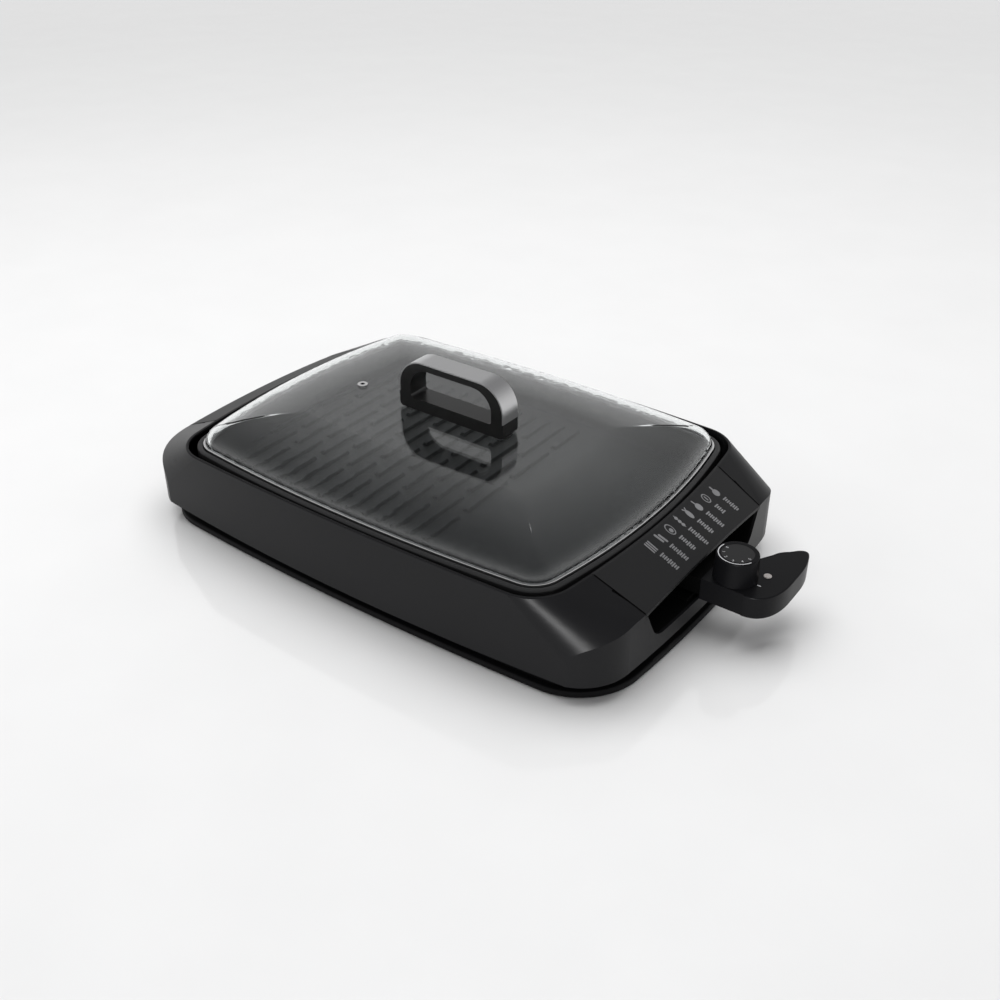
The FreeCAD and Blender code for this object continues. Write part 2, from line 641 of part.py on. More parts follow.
def heating_element():
    """The sheathed element: a looped tube under the plate whose two ends dip to the terminals."""
    left, right = ELEMENT_LEFT_INSET - LID_LENGTH / 2, LID_LENGTH / 2 - ELEMENT_RIGHT_INSET
    step, middle = right - ELEMENT_STEP, right - ELEMENT_MIDDLE_STEP
    inner, outer = ELEMENT_INNER_Y, LID_WIDTH / 2 - ELEMENT_OUTER_INSET
    dip_x, end_x = RECESS_BACK - ELEMENT_DIP_INSET, SEAL_START
    half_path = [(dip_x, ELEMENT_LEG_Y), (step, ELEMENT_LEG_Y), (step, inner), (right, inner)]
    half_path += [(right, outer), (left, outer), (left, inner), (middle, inner)]
    mirrored = [(x, -y) for x, y in reversed(half_path)]
    flat = bend(half_path + mirrored, ELEMENT_Z, ELEMENT_BEND)
    fall = ELEMENT_Z - PROBE_AXIS
    dip_radius = ELEMENT_DIP_BEND
    angle = math.acos(1 - fall / (2 * dip_radius))
    run = 2 * dip_radius * math.sin(angle)

    def dip(y):
        top = V(dip_x, y, ELEMENT_Z)
        half = V(dip_x + run / 2, y, ELEMENT_Z - fall / 2)
        low = V(dip_x + run, y, PROBE_AXIS)
        side = dip_radius * math.sin(angle / 2)
        drop = dip_radius * (1 - math.cos(angle / 2))
        over = V(dip_x + side, y, ELEMENT_Z - drop)
        under = V(dip_x + run - side, y, PROBE_AXIS + drop)
        arcs = [Part.Arc(top, over, half).toShape(), Part.Arc(half, under, low).toShape()]
        return arcs + [Part.LineSegment(low, V(end_x, y, PROBE_AXIS)).toShape()]

    path = Part.Wire(Part.__sortEdges__(dip(ELEMENT_LEG_Y) + flat + dip(-ELEMENT_LEG_Y)))
    ring = Part.Circle(V(end_x, ELEMENT_LEG_Y, PROBE_AXIS), V(1, 0, 0), ELEMENT_RADIUS).toShape()
    return path.makePipeShell([Part.Wire(ring)], True, False)


def terminal_plate():
    """The steel plate behind the socket that holds the insulators."""
    back = RECESS_BACK - LINER_WALL
    low, high = PROBE_AXIS - TERMINAL_PLATE_HALF_Z, PROBE_AXIS + TERMINAL_PLATE_HALF_Z
    behind = back - TERMINAL_PLATE
    plate = box(behind, back, -TERMINAL_PLATE_HALF_Y, TERMINAL_PLATE_HALF_Y, low, high)
    for y in (-ELEMENT_LEG_Y, ELEMENT_LEG_Y):
        plate = plate.cut(bar(behind - PAST, back + PAST, y, PROBE_AXIS, INSULATOR_RADIUS))
    return plate.cut(bar(behind - PAST, back + PAST, 0, PROBE_AXIS, SENSOR_RADIUS + SENSOR_PLAY))


def terminal_insulators():
    """Ceramic bushes around the terminal pins."""
    rings = []
    for y in (-ELEMENT_LEG_Y, ELEMENT_LEG_Y):
        start, stop = RECESS_BACK - INSULATOR_BEHIND, RECESS_BACK + INSULATOR_PROUD
        bush = bar(start, stop, y, PROBE_AXIS, INSULATOR_RADIUS)
        rings.append(bush.cut(bar(start - PAST, stop + PAST, y, PROBE_AXIS, PIN_RADIUS)))
    return Part.makeCompound(rings)


def element_seals():
    """Moisture seals between the element's ends and the insulators."""
    rings = []
    for y in (-ELEMENT_LEG_Y, ELEMENT_LEG_Y):
        stop = RECESS_BACK - INSULATOR_BEHIND
        seal = bar(SEAL_START, stop, y, PROBE_AXIS, ELEMENT_RADIUS + SEAL_WALL)
        rings.append(seal.cut(bar(SEAL_START - PAST, stop + PAST, y, PROBE_AXIS, PIN_RADIUS)))
    return Part.makeCompound(rings)


def terminal_pins():
    pins = []
    for y in (-ELEMENT_LEG_Y, ELEMENT_LEG_Y):
        pin = bar(SEAL_START, RECESS_BACK + PIN_REACH, y, PROBE_AXIS, PIN_RADIUS)
        tip = [e for e in pin.Edges if e.BoundBox.XMin > RECESS_BACK + PIN_REACH - 0.01]
        pins.append(pin.makeFillet(PIN_TIP_ROUND, tip))
    return Part.makeCompound(pins)


# ---------------------------------------------------------------- cooking plate
def ridge(x, y0, y1):
    """One raised bar of the ribbed half, with sloping sides and ends."""
    draft = (RIDGE_WIDTH - RIDGE_TOP_WIDTH) / 2

    def ring(half, start, stop, z):
        corners = [V(x - half, start, z), V(x + half, start, z), V(x + half, stop, z), V(x - half, stop, z)]
        return Part.makePolygon(corners + corners[:1])

    low = ring(RIDGE_WIDTH / 2, y0, y1, PLATE_FLOOR_TOP - RIDGE_ROOT)
    high = ring(RIDGE_TOP_WIDTH / 2, y0 + draft, y1 - draft, PLATE_FLOOR_TOP + RIDGE_HEIGHT)
    return Part.makeLoft([low, high], True, True)


def ridges():
    """Rows of interrupted bars whose gaps step from row to row, so that fat can run between them."""
    bars = []
    for row in range(RIDGE_COUNT):
        x = RIDGE_FIRST_INSET - LID_LENGTH / 2 + row * RIDGE_PITCH
        reach = LID_WIDTH / 2 - RIDGE_END_INSET - (RIDGE_FIRST_SHORTER if row == 0 else 0)
        gaps = RIDGE_GAPS_ODD if row % 2 else RIDGE_GAPS_EVEN
        starts = [-reach] + [gap + RIDGE_GAP / 2 for gap in gaps]
        stops = [gap - RIDGE_GAP / 2 for gap in gaps] + [reach]
        bars += [ridge(x, y0, y1) for y0, y1 in zip(starts, stops)]
    return bars


def cooking_plate():
    """The cast drop-in plate: ribbed on the left, smooth on the right, with a ledge for the lid."""
    seat = LID.grown(PLATE_SEAT)
    bead = seat.grown(PLATE_BEAD_WIDTH)
    ledge = seat.grown(-PLATE_LEDGE_WIDTH)
    floor = LID.grown(-PLATE_FLOOR_INSET)
    wall_top = PLATE_LEDGE - PLATE_WALL_BELOW_LEDGE
    body = loft([(floor.grown(PLATE_WALL), PLATE_UNDERSIDE), (ledge.grown(PLATE_WALL), wall_top)])
    rim = bead.prism(PLATE_LEDGE - PLATE_WALL, PLATE_BEAD_TOP)
    within = bead.grown(-PLATE_BEAD_WALL).prism(PLATE_BEAD_FOOT - PAST, PLATE_LEDGE)
    skirt = bead.prism(PLATE_BEAD_FOOT, PLATE_LEDGE).cut(within)
    solid = body.fuse(rim)
    hollow = loft([(floor, PLATE_FLOOR_TOP), (ledge, PLATE_LEDGE)])
    low = [e for e in hollow.Edges if e.BoundBox.ZMax < PLATE_FLOOR_TOP + 0.01]
    hollow = hollow.makeFillet(PLATE_FLOOR_ROUND, low)
    lid_seat = seat.prism(PLATE_LEDGE, PLATE_BEAD_TOP + PAST)
    solid = solid.cut(lid_seat).cut(hollow).fuse(skirt)
    top = [e for e in solid.Edges if e.BoundBox.ZMin > PLATE_BEAD_TOP - 0.01]
    solid = solid.makeFillet(PLATE_BEAD_ROUND, top)
    pad_low = PROBE_AXIS + SENSOR_RADIUS + GAP
    x0, x1 = SENSOR_TIP_X - SENSOR_PAD_PAST, SENSOR_TIP_X + SENSOR_PAD
    pad = box(x0, x1, -SENSOR_PAD / 2, SENSOR_PAD / 2, pad_low, PLATE_UNDERSIDE + PAST)
    return solid.multiFuse([pad] + ridges())


# ---------------------------------------------------------------- lid
def dome(thick):
    """The body under the glass's outer face, or under a face that lies deeper by the thickness."""
    crown = DOME_CROWN
    high = (GLASS_TOP - GLASS_FOOT) / math.sin(math.radians(crown)) ** (2 / DOME_POWER)
    sections = []
    for degrees in (0, 9, 20, 34, 50, 66, crown):
        angle = math.radians(degrees)
        reach = DOME_REACH * math.cos(angle) ** (2 / DOME_POWER)
        rise = high * math.sin(angle) ** (2 / DOME_POWER)
        slope_out = (reach / DOME_REACH) ** (DOME_POWER - 1) / DOME_REACH if degrees < crown else 0.0
        slope_up = (rise / high) ** (DOME_POWER - 1) / high
        size = math.hypot(slope_out, slope_up)
        inset = GLASS_INSET + DOME_REACH - reach + thick * slope_out / size
        level = GLASS_FOOT + rise - thick * slope_up / size
        sections.append((LID.grown(-inset), level))
    return loft(sections)


def glass_lid():
    """The toughened glass dome, with holes for the handle screws and the vent."""
    glass = dome(0).cut(dome(GLASS))
    inner_foot = LID.grown(-GLASS_INSET - GLASS)
    glass = glass.cut(inner_foot.prism(GLASS_FOOT - PAST, GLASS_FOOT + PAST / 2))
    for x in (-HANDLE_SCREW_X, HANDLE_SCREW_X):
        glass = glass.cut(rod(x, 0, GLASS_FOOT, GLASS_TOP + PAST, GLASS_HOLE))
    return glass.cut(rod(VENT_X, 0, GLASS_FOOT, GLASS_TOP + PAST, VENT_RADIUS))


def lid_rim():
    """The steel rim pressed round the glass's edge."""
    ring = LID.grown(LID_RIM_OUT).prism(LID_RIM_FOOT, LID_EDGE)
    ring = ring.makeFillet(LID_RIM_ROUND, [e for e in ring.Edges if e.BoundBox.ZMin > LID_EDGE - 0.01])
    ring = ring.cut(LID.grown(-LID_RIM_IN).prism(LID_RIM_FOOT - PAST, LID_EDGE + PAST))
    return ring.cut(dome(0))


def vent_grommet():
    """The flanged steel eyelet in the vent hole."""
    flange = rod(VENT_X, 0, GLASS_TOP, GLASS_TOP + VENT_FLANGE_HIGH, VENT_RADIUS + VENT_FLANGE)
    stem = rod(VENT_X, 0, GLASS_TOP - GLASS - VENT_STEM_BELOW, GLASS_TOP, VENT_RADIUS - VENT_SQUEEZE)
    return flange.fuse(stem).cut(rod(VENT_X, 0, GLASS_FOOT, GLASS_TOP + 2 * PAST, VENT_RADIUS - VENT_WALL))


def arch_plan(half, low, high, corner, foot_corner):
    """An upright arch outline in the XZ plane, as a face at y = 0."""
    k = math.sqrt(0.5)
    top = high - corner
    foot = low + foot_corner

    def arc(cx, cz, radius, sx, sz):
        start, stop = V(cx + sx * radius, 0, cz), V(cx, 0, cz + sz * radius)
        mid = V(cx + sx * radius * k, 0, cz + sz * radius * k)
        return start, mid, stop

    runs = [
        arc(half - corner, top, corner, 1, 1),
        tuple(reversed(arc(corner - half, top, corner, -1, 1))),
        arc(foot_corner - half, foot, foot_corner, -1, -1),
        tuple(reversed(arc(half - foot_corner, foot, foot_corner, 1, -1))),
    ]
    edges = []
    for run, following in zip(runs, runs[1:] + runs[:1]):
        edges.append(Part.Arc(*run).toShape())
        edges.append(Part.LineSegment(run[-1], following[0]).toShape())
    return Part.Face(Part.Wire(edges))


def arch(half, low, high, corner, foot_corner, depth):
    face = arch_plan(half, low, high, corner, foot_corner)
    face.translate(V(0, -depth / 2, 0))
    return face.extrude(V(0, depth, 0))


def handle_outer(inset, depth):
    half, corner = HANDLE_LENGTH / 2 - inset, HANDLE_CORNER - inset
    return arch(half, HANDLE_FOOT, HANDLE_TOP - inset, corner, HANDLE_FOOT_CORNER, depth)


def handle_window(depth):
    half = HANDLE_LENGTH / 2 - HANDLE_SIDE_BAR
    corner = HANDLE_CORNER - HANDLE_TOP_BAR
    high = HANDLE_TOP - HANDLE_TOP_BAR
    return arch(half, HANDLE_WINDOW_FOOT, high, corner, HANDLE_WINDOW_CORNER, depth)


def strip_room():
    """The block that the steel strip and its groove stay in, from the strip's ends up."""
    half = HANDLE_LENGTH / 2 + PAST
    return box(-half, half, -HANDLE_DEPTH, HANDLE_DEPTH, HANDLE_COVER_FOOT, HANDLE_TOP + PAST)


def handle_body():
    """The black handle: an arch on a lower bar, with a groove over its back for the steel strip."""
    body = handle_outer(0, HANDLE_DEPTH)
    wide, wider = HANDLE_DEPTH + 2 * PAST, HANDLE_DEPTH + 4 * PAST
    body = body.cut(handle_window(wide))
    groove = handle_outer(0, wide).cut(handle_outer(HANDLE_COVER, wider))
    body = body.cut(groove.common(strip_room()))
    for x in (-HANDLE_SCREW_X, HANDLE_SCREW_X):
        body = body.cut(screw_hole(x, 0, HANDLE_FOOT - PAST, HANDLE_FOOT + HANDLE_SCREW_REACH + PAST))
    return body


def handle_cover():
    """The satin steel strip over the handle."""
    strip = handle_outer(0, HANDLE_DEPTH).cut(handle_outer(HANDLE_COVER, HANDLE_DEPTH + 2 * PAST))
    return strip.common(strip_room())


def handle_gaskets():
    rings = []
    for x in (-HANDLE_SCREW_X, HANDLE_SCREW_X):
        rings.append(tube(x, 0, GLASS_TOP, HANDLE_FOOT, HANDLE_GASKET_RADIUS, GLASS_HOLE))
    return Part.makeCompound(rings)


def handle_washers():
    high = GLASS_TOP - GLASS
    rings = []
    for x in (-HANDLE_SCREW_X, HANDLE_SCREW_X):
        rings.append(tube(x, 0, high - WASHER_THICK, high, WASHER_RADIUS, WASHER_HOLE))
    return Part.makeCompound(rings)


def handle_screws():
    low = GLASS_TOP - GLASS - WASHER_THICK - SCREW_HEAD_HIGH
    screws = []
    for x in (-HANDLE_SCREW_X, HANDLE_SCREW_X):
        screws.append(screw(x, 0, low, HANDLE_FOOT + HANDLE_SCREW_REACH))
    return Part.makeCompound(screws)


# ---------------------------------------------------------------- thermostat probe
def grip_plan(low, high):
    """The probe housing seen from above: a block at the socket that turns into a finger grip."""
    x0 = END_X + PROBE_START
    out = END_X + PROBE_GRIP_OUT
    step = GRIP_STEP_X
    half = PROBE_HALF
    tip = GRIP_END_Y
    around = [
        (step, -half - GRIP_STEP_PROUD), (out - 7, -half + 6.0), (out, -half + 22),
        (out + 1.0, 28), (out - 3.5, tip - 6), (out - 8, tip + 0.3), (out - 13.5, tip - 1.2),
        (out - 17.5, tip - 5.4), (out - 21.5, tip - 9.5), (out - 26, tip - 14),
        (out - 29.5, tip - 21), (out - 34.5, tip - 30), (out - 43, half + 6), (x0, half),
    ]
    curve = Part.BSplineCurve()
    curve.interpolate([V(x, y, low) for x, y in around])
    corners = [(x0, half), (x0, -half), (step, -half), around[0]]
    points = [V(x, y, low) for x, y in corners]
    lines = [Part.LineSegment(p, q).toShape() for p, q in zip(points, points[1:])]
    return Part.Face(Part.Wire([curve.toShape()] + lines)).extrude(V(0, 0, high - low))


def rounded_grip(low, high, round_z):
    """The grip block with its long curved edge rounded at one height."""
    block = grip_plan(low, high)
    level = [e for e in block.Edges if e.BoundBox.ZLength < 0.01]
    edges = [e for e in level if abs(e.BoundBox.ZMin - round_z) < 0.01]
    return block.makeFillet(GRIP_ROUND, [max(edges, key=lambda e: e.Length)])


def along_y(radius, y0, y1):
    """A round bar along the cable way."""
    return Part.makeCylinder(radius, y1 - y0, V(CABLE_X, y0, PROBE_AXIS), V(0, 1, 0))


def chamber():
    """The hollow inside the probe, with the cable way along the grip."""
    low, high = CHAMBER_BOTTOM, CHAMBER_TOP
    room = box(CHAMBER_X0, GRIP_STEP_X, -CHAMBER_HALF, CHAMBER_HALF, low, high)
    room = room.fuse(box(CHAMBER_X0, CHAMBER_X1, -CHAMBER_NARROW, CHAMBER_HALF, low, high))
    low, high = PROBE_AXIS - CABLE_HALF, PROBE_AXIS + CABLE_HALF
    way = box(CABLE_X - CABLE_HALF, CABLE_X + CABLE_HALF, CHAMBER_HALF - PAST, GLAND_Y, low, high)
    lamp_room = rod(LENS_X, LENS_Y, PROBE_AXIS - 2 * PAST, CHAMBER_TOP, LENS_RADIUS)
    return room.fuse(way).fuse(lamp_room)


def neck_block():
    """The insulating nose that enters the socket, with its flange inside the housing."""
    nose_start = RECESS_BACK + NECK_CLEAR
    low, high = PROBE_AXIS - NECK_HALF_Z, PROBE_AXIS + NECK_HALF_Z
    return box(nose_start, CHAMBER_X0, -NECK_HALF_Y, NECK_HALF_Y, low, high)


def probe_shell(low, high, round_z):
    shell = rounded_grip(low, high, round_z).cut(chamber()).cut(neck_block())
    return shell.cut(along_y(GLAND_RADIUS, GLAND_Y, 2 * GRIP_END_Y))


def probe_upper_housing():
    """The top half of the probe, with the knob's bearing and the lens hole."""
    shell = probe_shell(PROBE_AXIS, PROBE_TOP, PROBE_TOP)
    shell = shell.cut(rod(KNOB_X, 0, PROBE_AXIS, PROBE_TOP + PAST, SHAFT_RADIUS + SHAFT_PLAY))
    shell = shell.cut(rod(LENS_X, LENS_Y, PROBE_AXIS, PROBE_TOP + PAST, LENS_RADIUS))
    roof = PROBE_TOP - PROBE_SCREW_ROOF
    return shell.cut(screw_hole(PROBE_SCREW_X, PROBE_SCREW_Y, PROBE_AXIS - PAST, roof))


def probe_lower_housing():
    shell = probe_shell(PROBE_BOTTOM, PROBE_AXIS, PROBE_BOTTOM)
    x, y = PROBE_SCREW_X, PROBE_SCREW_Y
    below = PROBE_BOTTOM - PAST
    shell = shell.cut(screw_hole(x, y, below, PROBE_AXIS + PAST))
    return shell.cut(rod(x, y, below, PROBE_BOTTOM + SCREW_HEAD_HIGH, SCREW_HEAD + SCREW_PLAY))


def probe_screw():
    return screw(PROBE_SCREW_X, PROBE_SCREW_Y, PROBE_BOTTOM, PROBE_TOP - PROBE_SCREW_ROOF - PAST)


def probe_neck():
    """The dark insulating nose with bores for the pins and the rod."""
    neck = neck_block()
    start, stop = RECESS_BACK + NECK_CLEAR - PAST, CHAMBER_X0 + PAST
    for y in (-ELEMENT_LEG_Y, ELEMENT_LEG_Y):
        neck = neck.cut(bar(start, stop, y, PROBE_AXIS, PIN_RADIUS + SLEEVE_WALL))
    return neck.cut(bar(start, stop, 0, PROBE_AXIS, SENSOR_RADIUS))


def contact_sleeves():
    """Sprung brass sleeves that grip the terminal pins."""
    sleeves = []
    for y in (-ELEMENT_LEG_Y, ELEMENT_LEG_Y):
        start, stop = RECESS_BACK + NECK_CLEAR + PAST, CHAMBER_X0 + 2 * SLEEVE_END
        sleeve = bar(start, stop, y, PROBE_AXIS, PIN_RADIUS + SLEEVE_WALL)
        sleeves.append(sleeve.cut(bar(RECESS_BACK, stop - SLEEVE_END, y, PROBE_AXIS, PIN_RADIUS + GAP)))
    return Part.makeCompound(sleeves)


def sensor_rod():
    """The steel rod that carries the plate's heat to the thermostat."""
    shaft = bar(SENSOR_TIP_X, CHAMBER_X0 + ROD_END, 0, PROBE_AXIS, SENSOR_RADIUS)
    tip = [e for e in shaft.Edges if e.BoundBox.XMax < SENSOR_TIP_X + 0.01]
    return shaft.makeFillet(SENSOR_TIP_ROUND, tip)


def thermostat_frame():
    """The steel bracket that holds the rod's end and the switch blades."""
    x0, half, steel = CHAMBER_X0 + ROD_END, THERMOSTAT_HALF, THERMOSTAT_STEEL
    floor = box(x0, x0 + THERMOSTAT_LENGTH, -half, half, CHAMBER_BOTTOM, CHAMBER_BOTTOM + steel)
    wall = box(x0, x0 + steel, -half, half, CHAMBER_BOTTOM, PROBE_AXIS + ROD_END)
    return floor.fuse(wall)


def switch_blades():
    """The fixed and the moving contact blade, stacked on an insulating block."""
    length, half, high = BLADE_BLOCK
    x0 = KNOB_X + BLADE_REACH - CONTACT_IN
    x1, low = x0 + length, CHAMBER_BOTTOM + THERMOSTAT_STEEL
    top = low + high + BLADE_THICK
    block = box(x0, x1, -half, half, low, low + high)
    blade = box(x0 - BLADE_REACH, x1, -BLADE_HALF, BLADE_HALF, low + high, top)
    contact = rod(x0 - BLADE_REACH + CONTACT_IN, 0, top, top + CONTACT_HIGH, CONTACT_RADIUS)
    return block.fuse(blade).fuse(contact)


def knob_shaft():
    """The shaft that turns in the housing and screws the thermostat's setting up or down."""
    low = CHAMBER_BOTTOM + THERMOSTAT_STEEL + BLADE_BLOCK[2] + BLADE_THICK + CONTACT_HIGH + GAP
    flange_top = CHAMBER_TOP - GAP
    flange = rod(KNOB_X, 0, flange_top - SHAFT_FLANGE_HIGH, flange_top, SHAFT_RADIUS + SHAFT_FLANGE)
    return rod(KNOB_X, 0, low, SHAFT_TOP, SHAFT_RADIUS).fuse(flange)


def probe_knob():
    """The slightly tapered control knob, hollow below."""
    cone = Part.makeCone(KNOB_RADIUS + KNOB_TAPER, KNOB_RADIUS, KNOB_HIGH, V(KNOB_X, 0, KNOB_FOOT))
    cone = cone.makeFillet(KNOB_ROUND, [e for e in cone.Edges if e.BoundBox.ZMin > KNOB_TOP - 0.01])
    below = KNOB_FOOT - PAST
    room = rod(KNOB_X, 0, below, KNOB_TOP - KNOB_ROOF, KNOB_RADIUS - KNOB_WALL)
    hub = rod(KNOB_X, 0, KNOB_FOOT, KNOB_TOP - KNOB_HUB_SHORTER, SHAFT_RADIUS + KNOB_HUB)
    knob = cone.cut(room).fuse(hub)
    knob = knob.cut(rod(KNOB_X, 0, below, SHAFT_TOP, SHAFT_RADIUS))
    dish = rod(KNOB_X, 0, KNOB_TOP - KNOB_CAP_DEPTH, KNOB_TOP + PAST, KNOB_RADIUS - KNOB_CAP_INSET)
    return knob.cut(dish)


def knob_cap():
    """The inset disc on top of the knob."""
    low = KNOB_TOP - KNOB_CAP_DEPTH
    return rod(KNOB_X, 0, low, low + KNOB_CAP_THICK, KNOB_RADIUS - KNOB_CAP_INSET)


def pilot_lens():
    lens_top = PROBE_TOP + LENS_PROUD
    stem = rod(LENS_X, LENS_Y, CHAMBER_TOP, lens_top, LENS_RADIUS)
    return stem.makeFillet(LENS_ROUND, [e for e in stem.Edges if e.BoundBox.ZMin > lens_top - 0.01])


def pilot_lamp():
    """The neon lamp under the lens."""
    low = PROBE_AXIS - LAMP_BELOW
    bulb = rod(LENS_X, LENS_Y, low, CHAMBER_TOP, LAMP_RADIUS)
    return bulb.makeFillet(LAMP_ROUND, [e for e in bulb.Edges if e.BoundBox.ZMax < low + 0.01])


def cord_gland():
    """The rubber gland at the grip's end, where the cord would come out."""
    end = GRIP_END_Y + GLAND_PROUD
    gland = along_y(GLAND_RADIUS, GLAND_Y, end)
    gland = gland.makeFillet(GLAND_ROUND, [e for e in gland.Edges if e.BoundBox.YMin > end - 0.01])
    return gland.cut(along_y(GLAND_BORE, GLAND_Y - PAST, end + PAST))


NODES = [
    outer_casing, right_end_panel, left_end_panel, right_recess_liner, left_recess_liner,
    base_tray, base_screws, rubber_feet, heat_reflector, reflector_posts, plate_supports,
    heating_element, terminal_plate, terminal_insulators, element_seals, terminal_pins,
    cooking_plate, glass_lid, lid_rim, vent_grommet,
    handle_body, handle_cover, handle_gaskets, handle_washers, handle_screws,
    probe_upper_housing, probe_lower_housing, probe_screw, probe_neck, contact_sleeves,
    sensor_rod, thermostat_frame, switch_blades, knob_shaft, probe_knob, knob_cap,
    pilot_lens, pilot_lamp, cord_gland,
]


def main():
    os.makedirs("parts", exist_ok=True)
    for make in NODES:
        name = make.__name__
        shape = make()
        shape.translate(V(-ORIGIN_X, 0, 0))
        print(name, shape.isValid(), len(shape.Solids), round(shape.Volume / 1000, 2), flush=True)
        shape.exportStep("parts/" + name + ".step")


main()
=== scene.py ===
# %% [markdown]
# # An electric griddle, dressed for its portrait
#
# The griddle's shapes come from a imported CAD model: casing, drop-in cooking plate, glass lid, handle
# and the plug-in thermostat probe. This lesson adds what CAD leaves out: finishes for every part,
# the printed cooking marks on the end panel, the dial on the knob, small moulded details, soft
# studio light and a camera. Every length is in metres.

# %% Load the griddle
import math
import bmesh
import bpy
from mathutils import Matrix, Vector
from mathutils.bvhtree import BVHTree


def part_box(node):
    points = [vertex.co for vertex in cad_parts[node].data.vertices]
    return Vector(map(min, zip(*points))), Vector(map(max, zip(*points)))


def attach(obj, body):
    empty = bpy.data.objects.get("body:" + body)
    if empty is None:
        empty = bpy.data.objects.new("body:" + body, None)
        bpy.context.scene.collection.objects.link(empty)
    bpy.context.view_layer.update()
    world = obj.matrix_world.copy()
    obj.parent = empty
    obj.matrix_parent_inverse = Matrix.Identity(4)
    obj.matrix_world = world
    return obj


MM = 0.001

scene = bpy.context.scene
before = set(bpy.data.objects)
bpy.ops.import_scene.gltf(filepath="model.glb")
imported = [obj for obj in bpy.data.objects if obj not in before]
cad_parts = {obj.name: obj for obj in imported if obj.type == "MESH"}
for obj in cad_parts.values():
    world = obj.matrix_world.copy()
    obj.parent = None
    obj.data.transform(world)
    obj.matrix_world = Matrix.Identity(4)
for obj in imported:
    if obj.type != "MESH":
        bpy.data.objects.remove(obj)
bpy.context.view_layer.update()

# %% [markdown]
# ## Camera
# The camera stands at the front right corner and looks down about 32 degrees, far enough away that
# the long sides only converge gently. It could be aimed with a constraint, but two plain angles are
# easier to read and to change. The Standard view transform is chosen over the film-like default,
# because it keeps a white table white and black plastic black.

# %% Camera
CAMERA_PLACE = (0.56615, -0.74745, 0.61937)
LOOK_DOWN = 31.826             # degrees below level
LOOK_ROUND = 36.402            # degrees from looking straight at the front
CAMERA_LENS = 43.1             # millimetres, on a sensor 36 wide

camera_data = bpy.data.cameras.new("portrait")
camera_data.lens = CAMERA_LENS
camera_data.sensor_width = 36.0
camera = bpy.data.objects.new("portrait", camera_data)
camera.location = CAMERA_PLACE
camera.rotation_euler = (math.radians(90 - LOOK_DOWN), 0.0, math.radians(LOOK_ROUND))
scene.collection.objects.link(camera)
scene.camera = camera
scene.view_settings.view_transform = "Standard"
print("camera", tuple(round(v, 3) for v in camera.location))

# %% [markdown]
# ## Soft studio light
# A dark glossy thing is drawn by what it reflects. One large panel overhead and a small one on the
# left light the table, and are kept out of the mirror images, so that no hard rectangle shows in
# the glass. A narrow upright strip does show: it draws the soft highlight down the near corner.


# %% Studio lamps
def soft_panel(name, place, target, width, height, power, mirrored):
    lamp = bpy.data.lights.new(name, "AREA")
    lamp.shape = "RECTANGLE"
    lamp.size = width
    lamp.size_y = height
    lamp.energy = power
    panel = bpy.data.objects.new(name, lamp)
    panel.location = place
    aim = Vector(target) - Vector(place)
    panel.rotation_euler = aim.to_track_quat("-Z", "Y").to_euler()
    panel.visible_glossy = mirrored
    panel.visible_transmission = False
    panel.visible_camera = False
    scene.collection.objects.link(panel)
    return panel


soft_panel("overhead_panel", place=(-0.2, 0.2, 2.2), target=(0, 0, 0),
           width=2.6, height=2.2, power=60, mirrored=False)
soft_panel("left_panel", place=(-1.8, -0.9, 0.9), target=(-0.2, 0, 0.1),
           width=0.9, height=0.9, power=6, mirrored=False)
soft_panel("corner_strip", place=(0.86, -1.6, 0.5), target=(0.18, -0.15, 0.07),
           width=0.22, height=0.9, power=34, mirrored=True)

# %% [markdown]
# ## The room's own light
# The glass lid mirrors the room, so the room is painted as a smooth ramp with no edges in it: pale
# near the horizon and darker straight above. A panorama of a studio would do the same job, but
# the ramp needs no file.

# %% World
AT_HORIZON = (1.0, 1.0, 1.0, 1.0)
OVERHEAD = (0.14, 0.14, 0.145, 1.0)
AIR_STRENGTH = 0.95

world = bpy.data.worlds.new("studio_air")
world.use_nodes = True
sky = world.node_tree
toward = sky.nodes.new("ShaderNodeTexCoord")
parts = sky.nodes.new("ShaderNodeSeparateXYZ")
sky.links.new(toward.outputs["Generated"], parts.inputs[0])
ramp = sky.nodes.new("ShaderNodeValToRGB")
ramp.color_ramp.interpolation = "EASE"
ramp.color_ramp.elements[0].color = AT_HORIZON
ramp.color_ramp.elements[1].color = OVERHEAD
sky.links.new(parts.outputs["Z"], ramp.inputs[0])
sky.links.new(ramp.outputs[0], sky.nodes["Background"].inputs["Color"])
sky.nodes["Background"].inputs["Strength"].default_value = AIR_STRENGTH
scene.world = world
print("world", world.name)

# %% [markdown]
# ## Node helpers
# A material is a small graph. These three helpers keep the graphs short: one adds a node with its
# settings, one joins two sockets, and one starts a reusable shader group with named sockets.


# %% Node helpers
def add(tree, kind, **settings):
    node = tree.nodes.new(kind)
    for key, value in settings.items():
        if key in node.inputs:
            node.inputs[key].default_value = value
        else:
            setattr(node, key, value)
    return node


def join(tree, source, target):
    tree.links.new(source, target)


def start_group(name, inputs, outputs):
    group = bpy.data.node_groups.new(name, "ShaderNodeTree")
    for label, kind, value in inputs:
        socket = group.interface.new_socket(label, in_out="INPUT", socket_type=kind)
        socket.default_value = value
    for label, kind in outputs:
        group.interface.new_socket(label, in_out="OUTPUT", socket_type=kind)
    return group, group.nodes.new("NodeGroupInput"), group.nodes.new("NodeGroupOutput")


FLOAT, COLOUR, VECTOR = "NodeSocketFloat", "NodeSocketColor", "NodeSocketVector"

# %% [markdown]
# ## Moulded grain
# Moulded plastic is never one tone. The tool leaves a fine grain, and slow changes of sheen run
# across a large panel. The group gives a height for the grain and a colour and roughness that
# drift a little, and each plastic sets its own amounts.


